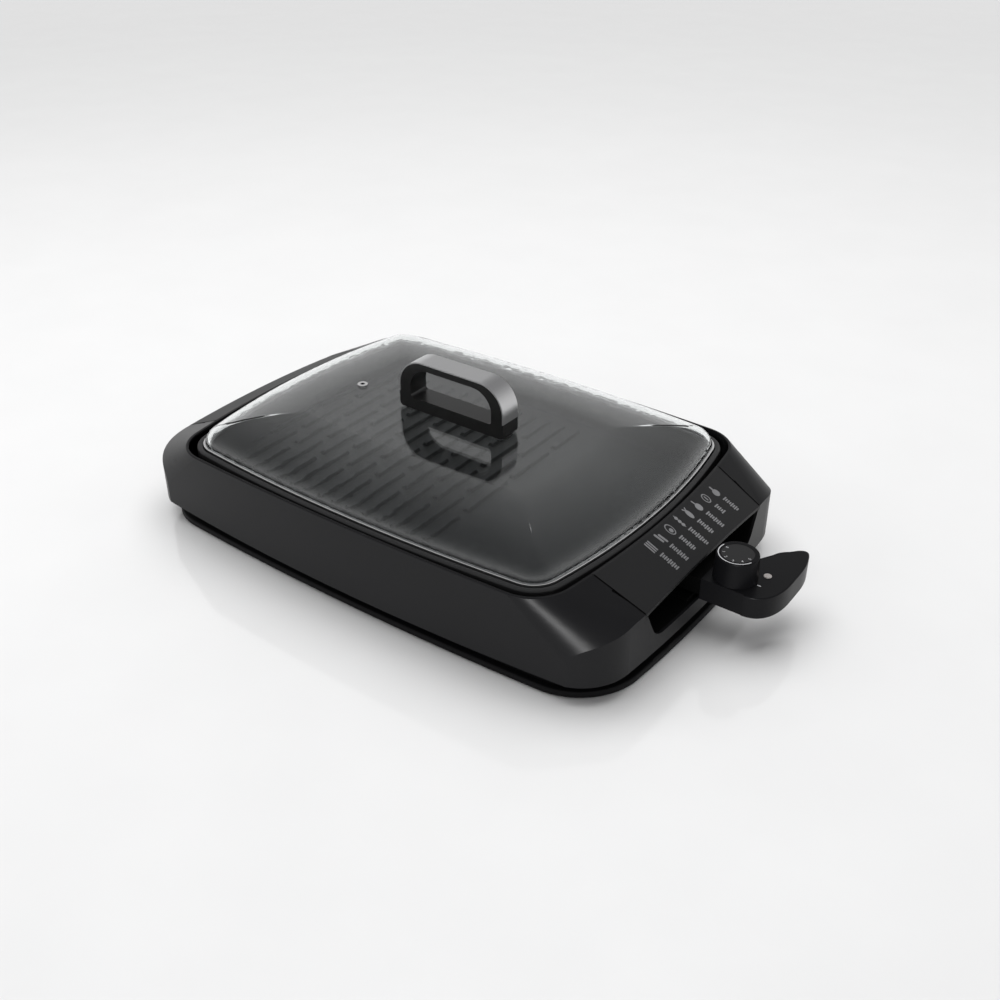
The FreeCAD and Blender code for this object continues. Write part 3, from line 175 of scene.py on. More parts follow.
# %% Moulded grain group
NOISE_MIDDLE = 0.5             # what a noise texture averages
TONE_SWING = 2.0               # how strongly the drift moves the colour
SHEEN_SWING = 0.5              # and the roughness
GRAIN_SHEEN = 0.10             # roughness added at the top of the grain


def build_moulded_grain():
    group, given, result = start_group(
        "moulded_grain",
        [("Colour", COLOUR, (0.02, 0.02, 0.02, 1)), ("Roughness", FLOAT, 0.4),
         ("Grain Scale", FLOAT, 900.0), ("Drift", FLOAT, 0.25)],
        [("Colour", COLOUR), ("Roughness", FLOAT), ("Height", FLOAT)],
    )
    where = add(group, "ShaderNodeTexCoord")
    grain = add(group, "ShaderNodeTexNoise", Detail=5.0, Roughness=0.65)
    join(group, where.outputs["Object"], grain.inputs["Vector"])
    join(group, given.outputs["Grain Scale"], grain.inputs["Scale"])
    cloud = add(group, "ShaderNodeTexNoise", Scale=9.0, Detail=3.0)
    join(group, where.outputs["Object"], cloud.inputs["Vector"])
    centred = add(group, "ShaderNodeMath", operation="SUBTRACT")
    centred.inputs[1].default_value = NOISE_MIDDLE
    join(group, cloud.outputs[0], centred.inputs[0])
    drift = add(group, "ShaderNodeMath", operation="MULTIPLY")
    join(group, centred.outputs[0], drift.inputs[0])
    join(group, given.outputs["Drift"], drift.inputs[1])
    lift = add(group, "ShaderNodeMath", operation="MULTIPLY_ADD")
    lift.inputs[1].default_value = TONE_SWING
    lift.inputs[2].default_value = 1.0
    join(group, drift.outputs[0], lift.inputs[0])
    tone = add(group, "ShaderNodeVectorMath", operation="SCALE")
    join(group, given.outputs["Colour"], tone.inputs[0])
    join(group, lift.outputs[0], tone.inputs["Scale"])
    speck = add(group, "ShaderNodeMath", operation="MULTIPLY_ADD")
    speck.inputs[1].default_value = GRAIN_SHEEN
    join(group, grain.outputs[0], speck.inputs[0])
    join(group, given.outputs["Roughness"], speck.inputs[2])
    sheen = add(group, "ShaderNodeMath", operation="MULTIPLY_ADD", use_clamp=True)
    sheen.inputs[1].default_value = SHEEN_SWING
    join(group, drift.outputs[0], sheen.inputs[0])
    join(group, speck.outputs[0], sheen.inputs[2])
    join(group, tone.outputs[0], result.inputs["Colour"])
    join(group, sheen.outputs[0], result.inputs["Roughness"])
    join(group, grain.outputs[0], result.inputs["Height"])
    return group


moulded_grain = build_moulded_grain()
print("group", moulded_grain.name, len(moulded_grain.nodes), "nodes")

# %% [markdown]
# ## Brushed lines
# Satin and rolled steel carry long fine scratches in one direction. Noise stretched by a Mapping
# node gives them: the scale is small along the scratches and large across.


# %% Brushed lines group
def build_brushed_lines():
    group, given, result = start_group(
        "brushed_lines",
        [("Colour", COLOUR, (0.6, 0.6, 0.6, 1)), ("Roughness", FLOAT, 0.3),
         ("Stretch", VECTOR, (20.0, 900.0, 900.0)), ("Depth", FLOAT, 0.3)],
        [("Colour", COLOUR), ("Roughness", FLOAT), ("Height", FLOAT)],
    )
    where = add(group, "ShaderNodeTexCoord")
    along = add(group, "ShaderNodeMapping")
    join(group, where.outputs["Object"], along.inputs["Vector"])
    join(group, given.outputs["Stretch"], along.inputs["Scale"])
    lines = add(group, "ShaderNodeTexNoise", Scale=1.0, Detail=4.0, Roughness=0.7)
    join(group, along.outputs[0], lines.inputs["Vector"])
    centred = add(group, "ShaderNodeMath", operation="SUBTRACT")
    centred.inputs[1].default_value = NOISE_MIDDLE
    join(group, lines.outputs[0], centred.inputs[0])
    depth = add(group, "ShaderNodeMath", operation="MULTIPLY")
    join(group, centred.outputs[0], depth.inputs[0])
    join(group, given.outputs["Depth"], depth.inputs[1])
    lift = add(group, "ShaderNodeMath", operation="ADD")
    lift.inputs[1].default_value = 1.0
    join(group, depth.outputs[0], lift.inputs[0])
    tone = add(group, "ShaderNodeVectorMath", operation="SCALE")
    join(group, given.outputs["Colour"], tone.inputs[0])
    join(group, lift.outputs[0], tone.inputs["Scale"])
    rough = add(group, "ShaderNodeMath", operation="ADD", use_clamp=True)
    join(group, given.outputs["Roughness"], rough.inputs[0])
    join(group, depth.outputs[0], rough.inputs[1])
    join(group, tone.outputs[0], result.inputs["Colour"])
    join(group, rough.outputs[0], result.inputs["Roughness"])
    join(group, lines.outputs[0], result.inputs["Height"])
    return group


brushed_lines = build_brushed_lines()
print("group", brushed_lines.name, len(brushed_lines.nodes), "nodes")

# %% [markdown]
# ## Finger smudges
# Anything shiny that is lifted by hand has faint matte patches. The group only changes roughness:
# two noises are multiplied, so that the marks come in loose clusters and most of the surface stays
# clean.


# %% Finger smudges group
SMUDGE_STARTS, SMUDGE_FULL = 0.24, 0.42     # where the multiplied noises begin and cease to tell


def build_finger_smudges():
    group, given, result = start_group(
        "finger_smudges",
        [("Roughness", FLOAT, 0.05), ("Amount", FLOAT, 0.1), ("Size", FLOAT, 25.0)],
        [("Roughness", FLOAT)],
    )
    where = add(group, "ShaderNodeTexCoord")
    patches = add(group, "ShaderNodeTexNoise", Detail=2.0, Distortion=0.6)
    join(group, where.outputs["Object"], patches.inputs["Vector"])
    join(group, given.outputs["Size"], patches.inputs["Scale"])
    clusters = add(group, "ShaderNodeTexNoise", Scale=6.0, Detail=2.0)
    join(group, where.outputs["Object"], clusters.inputs["Vector"])
    both = add(group, "ShaderNodeMath", operation="MULTIPLY")
    join(group, patches.outputs[0], both.inputs[0])
    join(group, clusters.outputs[0], both.inputs[1])
    some = add(group, "ShaderNodeMapRange")
    some.inputs["From Min"].default_value = SMUDGE_STARTS
    some.inputs["From Max"].default_value = SMUDGE_FULL
    join(group, both.outputs[0], some.inputs["Value"])
    amount = add(group, "ShaderNodeMath", operation="MULTIPLY_ADD", use_clamp=True)
    join(group, some.outputs[0], amount.inputs[0])
    join(group, given.outputs["Amount"], amount.inputs[1])
    join(group, given.outputs["Roughness"], amount.inputs[2])
    join(group, amount.outputs[0], result.inputs["Roughness"])
    return group


finger_smudges = build_finger_smudges()
print("group", finger_smudges.name, len(finger_smudges.nodes), "nodes")

# %% [markdown]
# ## Finishes that share a recipe
# Most parts are plastic, rubber or steel, so two functions cover them. Each places a group with its
# own values in a new material and leads the results to the Principled shader. A Bump node turns the
# height into small slopes without adding any geometry.


# %% Plastic and rubber recipe
FINE_RELIEF = 0.1 * MM         # height that the full range of a bump stands for
COARSE_RELIEF = 0.2 * MM


def start_finish(name):
    material = bpy.data.materials.new(name)
    material.use_nodes = True
    tree = material.node_tree
    return material, tree, tree.nodes["Principled BSDF"]


def place_group(tree, group, **values):
    node = tree.nodes.new("ShaderNodeGroup")
    node.node_tree = group
    for key, value in values.items():
        node.inputs[key.replace("_", " ")].default_value = value
    return node


def bump_into(tree, shader, height, strength, distance):
    bump = add(tree, "ShaderNodeBump", Strength=strength, Distance=distance)
    join(tree, height, bump.inputs["Height"])
    join(tree, bump.outputs["Normal"], shader.inputs["Normal"])


def moulded(name, shade, rough, grain=900.0, drift=0.25, bump=0.25, coat=0.0, specular=0.5):
    material, tree, shader = start_finish(name)
    look = place_group(tree, moulded_grain, Colour=(*shade, 1), Roughness=rough,
                       Grain_Scale=grain, Drift=drift)
    join(tree, look.outputs["Colour"], shader.inputs["Base Color"])
    join(tree, look.outputs["Roughness"], shader.inputs["Roughness"])
    bump_into(tree, shader, look.outputs["Height"], bump, COARSE_RELIEF)
    shader.inputs["Coat Weight"].default_value = coat
    shader.inputs["Specular IOR Level"].default_value = specular
    return material


# %% Steel recipe
def steel(name, shade, rough, stretch, depth=0.3, bump=0.15):
    material, tree, shader = start_finish(name)
    look = place_group(tree, brushed_lines, Colour=(*shade, 1), Roughness=rough,
                       Stretch=stretch, Depth=depth)
    join(tree, look.outputs["Colour"], shader.inputs["Base Color"])
    join(tree, look.outputs["Roughness"], shader.inputs["Roughness"])
    bump_into(tree, shader, look.outputs["Height"], bump, FINE_RELIEF)
    shader.inputs["Metallic"].default_value = 1.0
    return material


# %% [markdown]
# ## Plastics and rubbers of the griddle
# The casing is a satin near-black with a soft sheen, the end panels are flatter and a shade greyer
# so that the printing reads, and the recess liners are dull and darkest. The probe is a little
# glossier than the casing, and the handle is pressed phenolic, smooth and hard.

# %% Plastics and rubbers
casing_satin = moulded("casing_satin", (0.0055, 0.0055, 0.006), rough=0.30, grain=1100.0,
                       drift=0.22, bump=0.10, specular=0.13)
panel_matt = moulded("panel_matt", (0.012, 0.012, 0.0125), rough=0.46, grain=1300.0, drift=0.18,
                     bump=0.20, specular=0.2)
liner_dull = moulded("liner_dull", (0.002, 0.002, 0.002), rough=0.62, grain=700.0, drift=0.3,
                     bump=0.3, specular=0.12)
base_dull = moulded("base_dull", (0.004, 0.004, 0.0045), rough=0.52, grain=800.0, drift=0.3,
                    bump=0.3, specular=0.15)
foot_rubber = moulded("foot_rubber", (0.006, 0.006, 0.006), rough=0.78, grain=500.0, drift=0.4,
                      bump=0.5, specular=0.2)
seal_silicone = moulded("seal_silicone", (0.03, 0.03, 0.03), rough=0.6, grain=400.0, drift=0.3,
                        bump=0.3)
gland_rubber = moulded("gland_rubber", (0.009, 0.009, 0.009), rough=0.7, grain=600.0, drift=0.35,
                       bump=0.45)
handle_phenolic = moulded("handle_phenolic", (0.007, 0.007, 0.007), rough=0.26, grain=1200.0,
                          drift=0.2, bump=0.06, specular=0.4)
probe_satin = moulded("probe_satin", (0.004, 0.004, 0.0045), rough=0.28, grain=1000.0, drift=0.2,
                      bump=0.10, specular=0.10)
knob_satin = moulded("knob_satin", (0.003, 0.003, 0.0035), rough=0.34, grain=1000.0, drift=0.2,
                     bump=0.12, specular=0.08)
cap_matt = moulded("cap_matt", (0.012, 0.012, 0.0125), rough=0.42, grain=1300.0, drift=0.2,
                   bump=0.15, specular=0.25)
ceramic_glaze = moulded("ceramic_glaze", (0.72, 0.69, 0.62), rough=0.22, grain=300.0, drift=0.12,
                        bump=0.12, coat=0.4)
print("plastics", len(bpy.data.materials))

# %% [markdown]
# ## Metals of the griddle
# The lid's rim and the vent are polished, the strip over the handle is satin, and the parts inside
# are plain mill steel. The sheath of the heating element has been hot: its brown and blue tints
# come from slow noise led through a colour ramp.

# %% Metals
rim_bright = steel("rim_bright", (0.74, 0.74, 0.74), rough=0.14, stretch=(60.0, 60.0, 2500.0),
                   depth=0.12, bump=0.05)
strip_satin = steel("strip_satin", (0.56, 0.56, 0.565), rough=0.32,
                    stretch=(2200.0, 30.0, 2200.0), depth=0.24, bump=0.10)
mill_steel = steel("mill_steel", (0.52, 0.52, 0.51), rough=0.32, stretch=(30.0, 900.0, 900.0),
                   depth=0.35, bump=0.2)
screw_steel = steel("screw_steel", (0.45, 0.45, 0.44), rough=0.30, stretch=(900.0, 900.0, 80.0),
                    depth=0.3, bump=0.2)
rod_steel = steel("rod_steel", (0.66, 0.66, 0.65), rough=0.18, stretch=(700.0, 90.0, 90.0),
                  depth=0.2, bump=0.1)
contact_brass = steel("contact_brass", (0.72, 0.52, 0.22), rough=0.26,
                      stretch=(60.0, 800.0, 800.0), depth=0.3, bump=0.15)


def build_heated_sheath():
    material, tree, shader = start_finish("heated_sheath")
    where = add(tree, "ShaderNodeTexCoord")
    heat = add(tree, "ShaderNodeTexNoise", Scale=22.0, Detail=3.0)
    join(tree, where.outputs["Object"], heat.inputs["Vector"])
    tint = add(tree, "ShaderNodeValToRGB")
    tint.color_ramp.elements[0].position = 0.34
    tint.color_ramp.elements[0].color = (0.05, 0.06, 0.09, 1)
    tint.color_ramp.elements[1].position = 0.68
    tint.color_ramp.elements[1].color = (0.30, 0.25, 0.20, 1)
    middle = tint.color_ramp.elements.new(0.5)
    middle.color = (0.16, 0.11, 0.08, 1)
    join(tree, heat.outputs[0], tint.inputs[0])
    join(tree, tint.outputs[0], shader.inputs["Base Color"])
    scale = add(tree, "ShaderNodeTexNoise", Scale=700.0, Detail=5.0)
    join(tree, where.outputs["Object"], scale.inputs["Vector"])
    bump_into(tree, shader, scale.outputs[0], 0.35, COARSE_RELIEF)
    shader.inputs["Metallic"].default_value = 0.85
    shader.inputs["Roughness"].default_value = 0.45
    return material


heated_sheath = build_heated_sheath()
print("metals ready, materials", len(bpy.data.materials))

# %% [markdown]
# ## Non-stick coating
# The cooking plate is cast aluminium under a dark coating. Sprayed coatings show a faint orange
# peel and tiny mineral flecks. The peel is a bump, and the flecks come from a Voronoi texture whose
# cells are so small that only a few of them catch the eye.


# %% Non-stick coating
FLECK_EDGE, FLECK_MIDDLE = 0.20, 0.08       # distances from a cell's centre
FLECK_WEIGHT = 0.35
MIX_FACTOR, MIX_A, MIX_B, MIX_RESULT = 0, 6, 7, 2       # a Mix node's colour sockets


def build_plate_coating():
    material, tree, shader = start_finish("plate_coating")
    look = place_group(tree, moulded_grain, Colour=(0.017, 0.017, 0.0175, 1), Roughness=0.38,
                       Grain_Scale=900.0, Drift=0.2)
    where = add(tree, "ShaderNodeTexCoord")
    flecks = add(tree, "ShaderNodeTexVoronoi", Scale=900.0)
    join(tree, where.outputs["Object"], flecks.inputs["Vector"])
    few = add(tree, "ShaderNodeMapRange")
    few.inputs["From Min"].default_value = FLECK_EDGE
    few.inputs["From Max"].default_value = FLECK_MIDDLE
    join(tree, flecks.outputs["Distance"], few.inputs["Value"])
    weak = add(tree, "ShaderNodeMath", operation="MULTIPLY")
    weak.inputs[1].default_value = FLECK_WEIGHT
    join(tree, few.outputs[0], weak.inputs[0])
    colour = add(tree, "ShaderNodeMix", data_type="RGBA")
    join(tree, weak.outputs[0], colour.inputs[MIX_FACTOR])
    join(tree, look.outputs["Colour"], colour.inputs[MIX_A])
    colour.inputs[MIX_B].default_value = (0.035, 0.035, 0.035, 1)
    join(tree, colour.outputs[MIX_RESULT], shader.inputs["Base Color"])
    join(tree, look.outputs["Roughness"], shader.inputs["Roughness"])
    bump_into(tree, shader, look.outputs["Height"], 0.1, COARSE_RELIEF)
    shader.inputs["Specular IOR Level"].default_value = 0.3
    return material


plate_coating = build_plate_coating()
print("coating", plate_coating.name)

# %% [markdown]
# ## Toughened glass
# The dome is clear glass a few millimetres thick, modelled with both faces, so plain transmission
# bends light as it should. Rays that only carry shadow go straight through, because light bent by
# the lid would otherwise reach the plate only as slow and noisy caustics.


# %% Toughened glass
def build_lid_glass():
    material, tree, shader = start_finish("lid_glass")
    shader.inputs["Base Color"].default_value = (0.93, 0.95, 0.95, 1)
    shader.inputs["Transmission Weight"].default_value = 1.0
    shader.inputs["IOR"].default_value = 1.5
    marks = place_group(tree, finger_smudges, Roughness=0.0, Amount=0.04, Size=30.0)
    join(tree, marks.outputs["Roughness"], shader.inputs["Roughness"])
    path = add(tree, "ShaderNodeLightPath")
    clear = add(tree, "ShaderNodeBsdfTransparent", Color=(0.9, 0.92, 0.92, 1))
    either = add(tree, "ShaderNodeMixShader")
    join(tree, path.outputs["Is Shadow Ray"], either.inputs[0])
    join(tree, shader.outputs[0], either.inputs[1])
    join(tree, clear.outputs[0], either.inputs[2])
    join(tree, either.outputs[0], tree.nodes["Material Output"].inputs["Surface"])
    return material


lid_glass = build_lid_glass()
print("glass", lid_glass.name)

# %% [markdown]
# ## Pilot lamp and its lens
# The lens is a small frosted jewel over a neon lamp. The lamp is off, so the lens shows as a pale
# milky oval with a fine frosting. The inks of the printed marks are made here too, and a flat black
# that is painted shade, for the gaps beside the panels and the screw recesses.


# %% Lens and lamp
def build_lens(name, shade, rough, through):
    material, tree, shader = start_finish(name)
    look = place_group(tree, moulded_grain, Colour=(*shade, 1), Roughness=rough,
                       Grain_Scale=1500.0, Drift=0.3)
    join(tree, look.outputs["Colour"], shader.inputs["Base Color"])
    join(tree, look.outputs["Roughness"], shader.inputs["Roughness"])
    bump_into(tree, shader, look.outputs["Height"], 0.2, COARSE_RELIEF)
    shader.inputs["Subsurface Weight"].default_value = through
    shader.inputs["Subsurface Radius"].default_value = (0.002, 0.0015, 0.0015)
    return material


pilot_frost = build_lens("pilot_frost", (0.30, 0.28, 0.27), rough=0.22, through=0.2)
neon_glass = build_lens("neon_glass", (0.50, 0.34, 0.26), rough=0.10, through=0.1)
white_ink = moulded("white_ink", (0.42, 0.42, 0.43), rough=0.5, grain=1500.0, drift=0.35,
                    bump=0.1)
grey_ink = moulded("grey_ink", (0.15, 0.15, 0.155), rough=0.5, grain=1500.0, drift=0.6, bump=0.1)
# flat black for painted shade: the gaps beside the panels and the screw recesses
shadow_black = moulded("shadow_black", (0.001, 0.001, 0.001), rough=0.8, grain=700.0, drift=0.3,
                       bump=0.2, specular=0.02)

# %% [markdown]
# ## Give every part its finish
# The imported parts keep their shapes. Only their material slots change, one finish for each node,
# hidden parts included, so that nothing inside is left plain when the lid or the probe is away.

# %% Finish table
finishes = {
    casing_satin: ["outer_casing"],
    panel_matt: ["right_end_panel", "left_end_panel"],
    liner_dull: ["right_recess_liner", "left_recess_liner", "probe_neck"],
    base_dull: ["base_tray"],
    foot_rubber: ["rubber_feet"],
    mill_steel: ["heat_reflector", "reflector_posts", "plate_supports", "terminal_plate",
                 "handle_washers", "thermostat_frame"],
    screw_steel: ["base_screws", "handle_screws", "probe_screw", "knob_shaft"],
    heated_sheath: ["heating_element"],
    ceramic_glaze: ["terminal_insulators"],
    seal_silicone: ["element_seals", "handle_gaskets"],
    rod_steel: ["terminal_pins", "sensor_rod"],
    contact_brass: ["contact_sleeves", "switch_blades"],
    plate_coating: ["cooking_plate"],
    lid_glass: ["glass_lid"],
    rim_bright: ["lid_rim", "vent_grommet"],
    handle_phenolic: ["handle_body"],
    strip_satin: ["handle_cover"],
    probe_satin: ["probe_upper_housing", "probe_lower_housing"],
    knob_satin: ["probe_knob"],
    cap_matt: ["knob_cap"],
    pilot_frost: ["pilot_lens"],
    neon_glass: ["pilot_lamp"],
    gland_rubber: ["cord_gland"],
}
for finish, names in finishes.items():
    for name in names:
        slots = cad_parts[name].data.materials
        slots.clear()
        slots.append(finish)
dressed = {name for names in finishes.values() for name in names}
print("dressed", len(dressed), "left", sorted(set(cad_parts) - dressed))

# %% [markdown]
# ## Calm the glass
# A domed lid is tessellated into thousands of thin triangles, and clear glass shows every wobble in
# their normals. The points are welded and each normal is weighted by face area, which is meant to
# let the large faces count for more than the slivers. Only points within a hundredth of a
# millimetre of each other are merged, so the shape stays the same to that measure.

# %% Glass shading
SAME_POINT = 0.01 * MM
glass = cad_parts["glass_lid"]
weld = glass.modifiers.new("weld", "WELD")
weld.merge_threshold = SAME_POINT
weigh = glass.modifiers.new("weigh_normals", "WEIGHTED_NORMAL")
weigh.mode = "FACE_AREA"
weigh.weight = 100
weigh.keep_sharp = True
print("glass modifiers", [step.type for step in glass.modifiers])

# %% [markdown]
# ## Keep the strip light off the glass
# The upright strip is meant for the moulded parts. Light linking names the pieces that receive it,
# so that no bright bar appears in the lid from another side.

# %% Light linking
lit_by_strip = bpy.data.collections.new("lit_by_strip")
for name in ("outer_casing", "probe_knob", "probe_upper_housing", "probe_lower_housing"):
    lit_by_strip.objects.link(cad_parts[name])
bpy.data.objects["corner_strip"].light_linking.receiver_collection = lit_by_strip

# %% [markdown]
# ## Helpers for new pieces
# New pieces start as a bmesh. When one is finished it becomes an object at the origin, gets its
# finish, and rides on the body that carries it on the real griddle.


# %% Piece helpers
ABOVE_ALL = 1.0                # where a ray starts, higher than the griddle
DOWN = Vector((0, 0, -1))
INK_GAP = 0.25                 # share of its thickness that ink floats above the surface


def keep_piece(mesh_edit, name, finish, body):
    mesh = bpy.data.meshes.new(name)
    mesh_edit.to_mesh(mesh)
    mesh_edit.free()
    piece = bpy.data.objects.new(name, mesh)
    scene.collection.objects.link(piece)
    mesh.materials.append(finish)
    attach(piece, body)
    print("piece", name, len(mesh.polygons), "faces")
    return piece


def placed_points(node):
    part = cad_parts[node]
    return [part.matrix_world @ point.co for point in part.data.vertices]


def surface_of(node):
    faces = [tuple(face.vertices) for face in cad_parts[node].data.polygons]
    return BVHTree.FromPolygons(placed_points(node), faces)


def lay_on(mesh_edit, skin, proud):
    """Drops every point straight down onto a surface, then gives the ink its small thickness."""
    for point in mesh_edit.verts:
        hit = skin.ray_cast(Vector((point.co.x, point.co.y, ABOVE_ALL)), DOWN)
        point.co.z = hit[0].z + proud * INK_GAP
    thicken(mesh_edit, proud)


def thicken(mesh_edit, amount):
    raised = bmesh.ops.extrude_face_region(mesh_edit, geom=mesh_edit.faces[:])
    points = [part for part in raised["geom"] if isinstance(part, bmesh.types.BMVert)]
    bmesh.ops.translate(mesh_edit, verts=points, vec=(0, 0, amount))
    bmesh.ops.recalc_face_normals(mesh_edit, faces=mesh_edit.faces[:])


# %% [markdown]
# ## Shapes for printed marks
# All the printing on the griddle is made of three flat shapes: a disc that can be squeezed to an
# oval, a ring, and a bar with round ends. The bar is a disc cut in half by moving half its points
# along, which keeps the ends truly round.


# %% Printed shapes
def ink_disc(mesh_edit, x, y, radius, squeeze=1.0):
    made = bmesh.ops.create_circle(mesh_edit, cap_ends=True, segments=20, radius=radius)
    bmesh.ops.scale(mesh_edit, verts=made["verts"], vec=(1.0, squeeze, 1.0))
    bmesh.ops.translate(mesh_edit, verts=made["verts"], vec=(x, y, 0))


def ink_bar(mesh_edit, x0, x1, y, width, turn=0.0):
    made = bmesh.ops.create_circle(mesh_edit, cap_ends=True, segments=16, radius=width / 2)
    half = max((x1 - x0 - width) / 2, 0.0)
    for point in made["verts"]:
        point.co.x += half if point.co.x > 0 else -half
    centre = Vector(((x0 + x1) / 2, y, 0))
    bmesh.ops.rotate(mesh_edit, verts=made["verts"], matrix=Matrix.Rotation(turn, 3, "Z"))
    bmesh.ops.translate(mesh_edit, verts=made["verts"], vec=centre)


def ink_ring(mesh_edit, x, y, radius, width, squeeze=1.0):
    edges = []
    verts = []
    for size in (radius, radius - width):
        made = bmesh.ops.create_circle(mesh_edit, cap_ends=False, segments=24, radius=size)
        verts += made["verts"]
        edges += list({edge for point in made["verts"] for edge in point.link_edges})
    bmesh.ops.bridge_loops(mesh_edit, edges=edges)
    bmesh.ops.scale(mesh_edit, verts=verts, vec=(1.0, squeeze, 1.0))
    bmesh.ops.translate(mesh_edit, verts=verts, vec=(x, y, 0))


# %% [markdown]
# ## Cooking pictograms on the end panel
# Eight rows run across the sloping panel, each a small food pictogram followed by a row of ticks
# where a cooking guide would stand. They are made flat, then laid on the panel, because the panel is
# slightly bowed and a flat decal would sink into it.

# %% Pictograms
def pancakes(ink, x, y):
    for step in (-2.4, 0.0, 2.4):
        ink_bar(ink, x - 5.2 * MM, x + 5.2 * MM, y + step * MM, 1.5 * MM)


def sausages(ink, x, y):
    ink_bar(ink, x - 5.5 * MM, x + 4.0 * MM, y - 1.7 * MM, 2.3 * MM, 0.12)
    ink_bar(ink, x - 3.5 * MM, x + 5.8 * MM, y + 1.7 * MM, 2.3 * MM, 0.12)


def fried_egg(ink, x, y):
    ink_ring(ink, x, y, 5.4 * MM, 1.0 * MM, 0.75)
    ink_disc(ink, x + 1.0 * MM, y, 2.0 * MM)


def fish(ink, x, y):
    ink_disc(ink, x + 1.0 * MM, y, 4.6 * MM, 0.55)
    ink_bar(ink, x - 6.0 * MM, x - 2.5 * MM, y + 1.2 * MM, 1.2 * MM, -0.6)
    ink_bar(ink, x - 6.0 * MM, x - 2.5 * MM, y - 1.2 * MM, 1.2 * MM, 0.6)


def cutlet(ink, x, y):
    ink_disc(ink, x + 1.5 * MM, y, 3.8 * MM, 0.9)
    ink_bar(ink, x - 6.2 * MM, x - 1.0 * MM, y - 0.6 * MM, 1.5 * MM, 0.15)


def skewer(ink, x, y):
    ink_bar(ink, x - 6.5 * MM, x + 6.5 * MM, y, 0.7 * MM)
    for step in (-3.4, 0.2, 3.8):
        ink_disc(ink, x + step * MM, y, 1.7 * MM)


def mushroom(ink, x, y):
    ink_disc(ink, x + 1.6 * MM, y, 3.6 * MM, 1.0)
    ink_bar(ink, x - 5.6 * MM, x - 0.5 * MM, y, 2.0 * MM)


def toast(ink, x, y):
    ink_ring(ink, x, y, 4.8 * MM, 1.1 * MM, 0.8)
    ink_bar(ink, x - 2.4 * MM, x + 2.4 * MM, y, 1.3 * MM)


TICK_HALVES = (2.9, 2.0, 2.4, 1.9, 3.0, 2.2)    # millimetres, half of each tick's height
TICK_PITCH = 1.85
TICK_LIFT = 1.5 * MM
TICK_WIDTH = 1.25 * MM


def tick_row(ink, x, y, count):
    """A row of upright ticks of uneven height, where a word would stand."""
    for tick in range(count):
        half = TICK_HALVES[tick % len(TICK_HALVES)] * MM
        middle = x + tick * TICK_PITCH * MM
        ink_bar(ink, middle - half, middle + half, y + TICK_LIFT, TICK_WIDTH, math.pi / 2)


# %% Panel printing
ICON_IN = 15.9 * MM            # panel's inner edge to the middle of a pictogram
GUIDE_IN = 9.4 * MM            # pictogram to the first tick
ROW_PITCH = 15.4 * MM
FIRST_ROW_IN = 64.3 * MM       # panel's front end to the first row
PRINT_PROUD = 0.06 * MM

panel_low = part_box("right_end_panel")[0]
panel_skin = surface_of("right_end_panel")
icon_x = panel_low.x + ICON_IN
guide_x = icon_x + GUIDE_IN
first_row = panel_low.y + FIRST_ROW_IN
guide_ticks = [9, 9, 8, 10, 8, 9, 5, 8]
icons = [pancakes, sausages, fried_egg, skewer, fish, cutlet, toast, mushroom]
print_layer = bmesh.new()
for row, (icon, ticks) in enumerate(zip(icons, guide_ticks)):
    y = first_row + row * ROW_PITCH
    icon(print_layer, icon_x, y)
    tick_row(print_layer, guide_x, y, ticks)
lay_on(print_layer, panel_skin, PRINT_PROUD)
keep_piece(print_layer, "cooking_guide_print", grey_ink, "base")

# %% [markdown]
# ## Painted shade beside the panels
# Each end panel is a separate moulding dropped into the casing, so a narrow gap runs down both of
# its sides. A strip of small faces, painted black as the shade in that gap, is laid along each
# joint. The real gap is less than a fifth of a millimetre wide and would vanish at this distance, so
# the painted strip is drawn wider.

# %% Painted shade along the panel seams
SEAM_STEPS = 28
SEAM_WIDTH = 1.2               # this and the next two are in millimetres
SEAM_EDGE = 0.1                # seam to the panel's widest line, at the top
SEAM_NARROWS = 5.4             # and how much further in it ends at the foot
SEAM_TOP_IN = 1.4 * MM         # ends of the seam to the ends of the panel
SEAM_FOOT_IN = 0.6 * MM
BESIDE_SEAM = 1.6 * MM         # how far to each side the height is read
SEAM_LIFT = 0.02 * MM
SEAM_THICK = 0.04 * MM

casing_skin = surface_of("outer_casing")


def lay_seam(top_x, foot_x, side, panel_side):
    """One painted shade line down a panel's side, narrowing in as the panel does towards its foot."""
    seam = bmesh.new()
    bmesh.ops.create_grid(seam, x_segments=SEAM_STEPS, y_segments=1, size=0.5)
    for point in seam.verts:
        along = point.co.x + 0.5
        edge = panel_side - (SEAM_EDGE + SEAM_NARROWS * along) * MM
        across = side * edge + point.co.y * SEAM_WIDTH * MM
        point.co = Vector((top_x + (foot_x - top_x) * along, across, 0))
    return seam


def rest_on(mesh_edit, skins, look):
    """Lifts points to the higher of the surfaces found a little to each side of them."""
    for point in mesh_edit.verts:
        starts = [Vector((point.co.x, point.co.y + step, ABOVE_ALL))
                  for step in (-look, look)]
        hits = [skin.ray_cast(start, DOWN)[0] for skin in skins for start in starts]
        point.co.z = max(hit.z for hit in hits if hit) + SEAM_LIFT


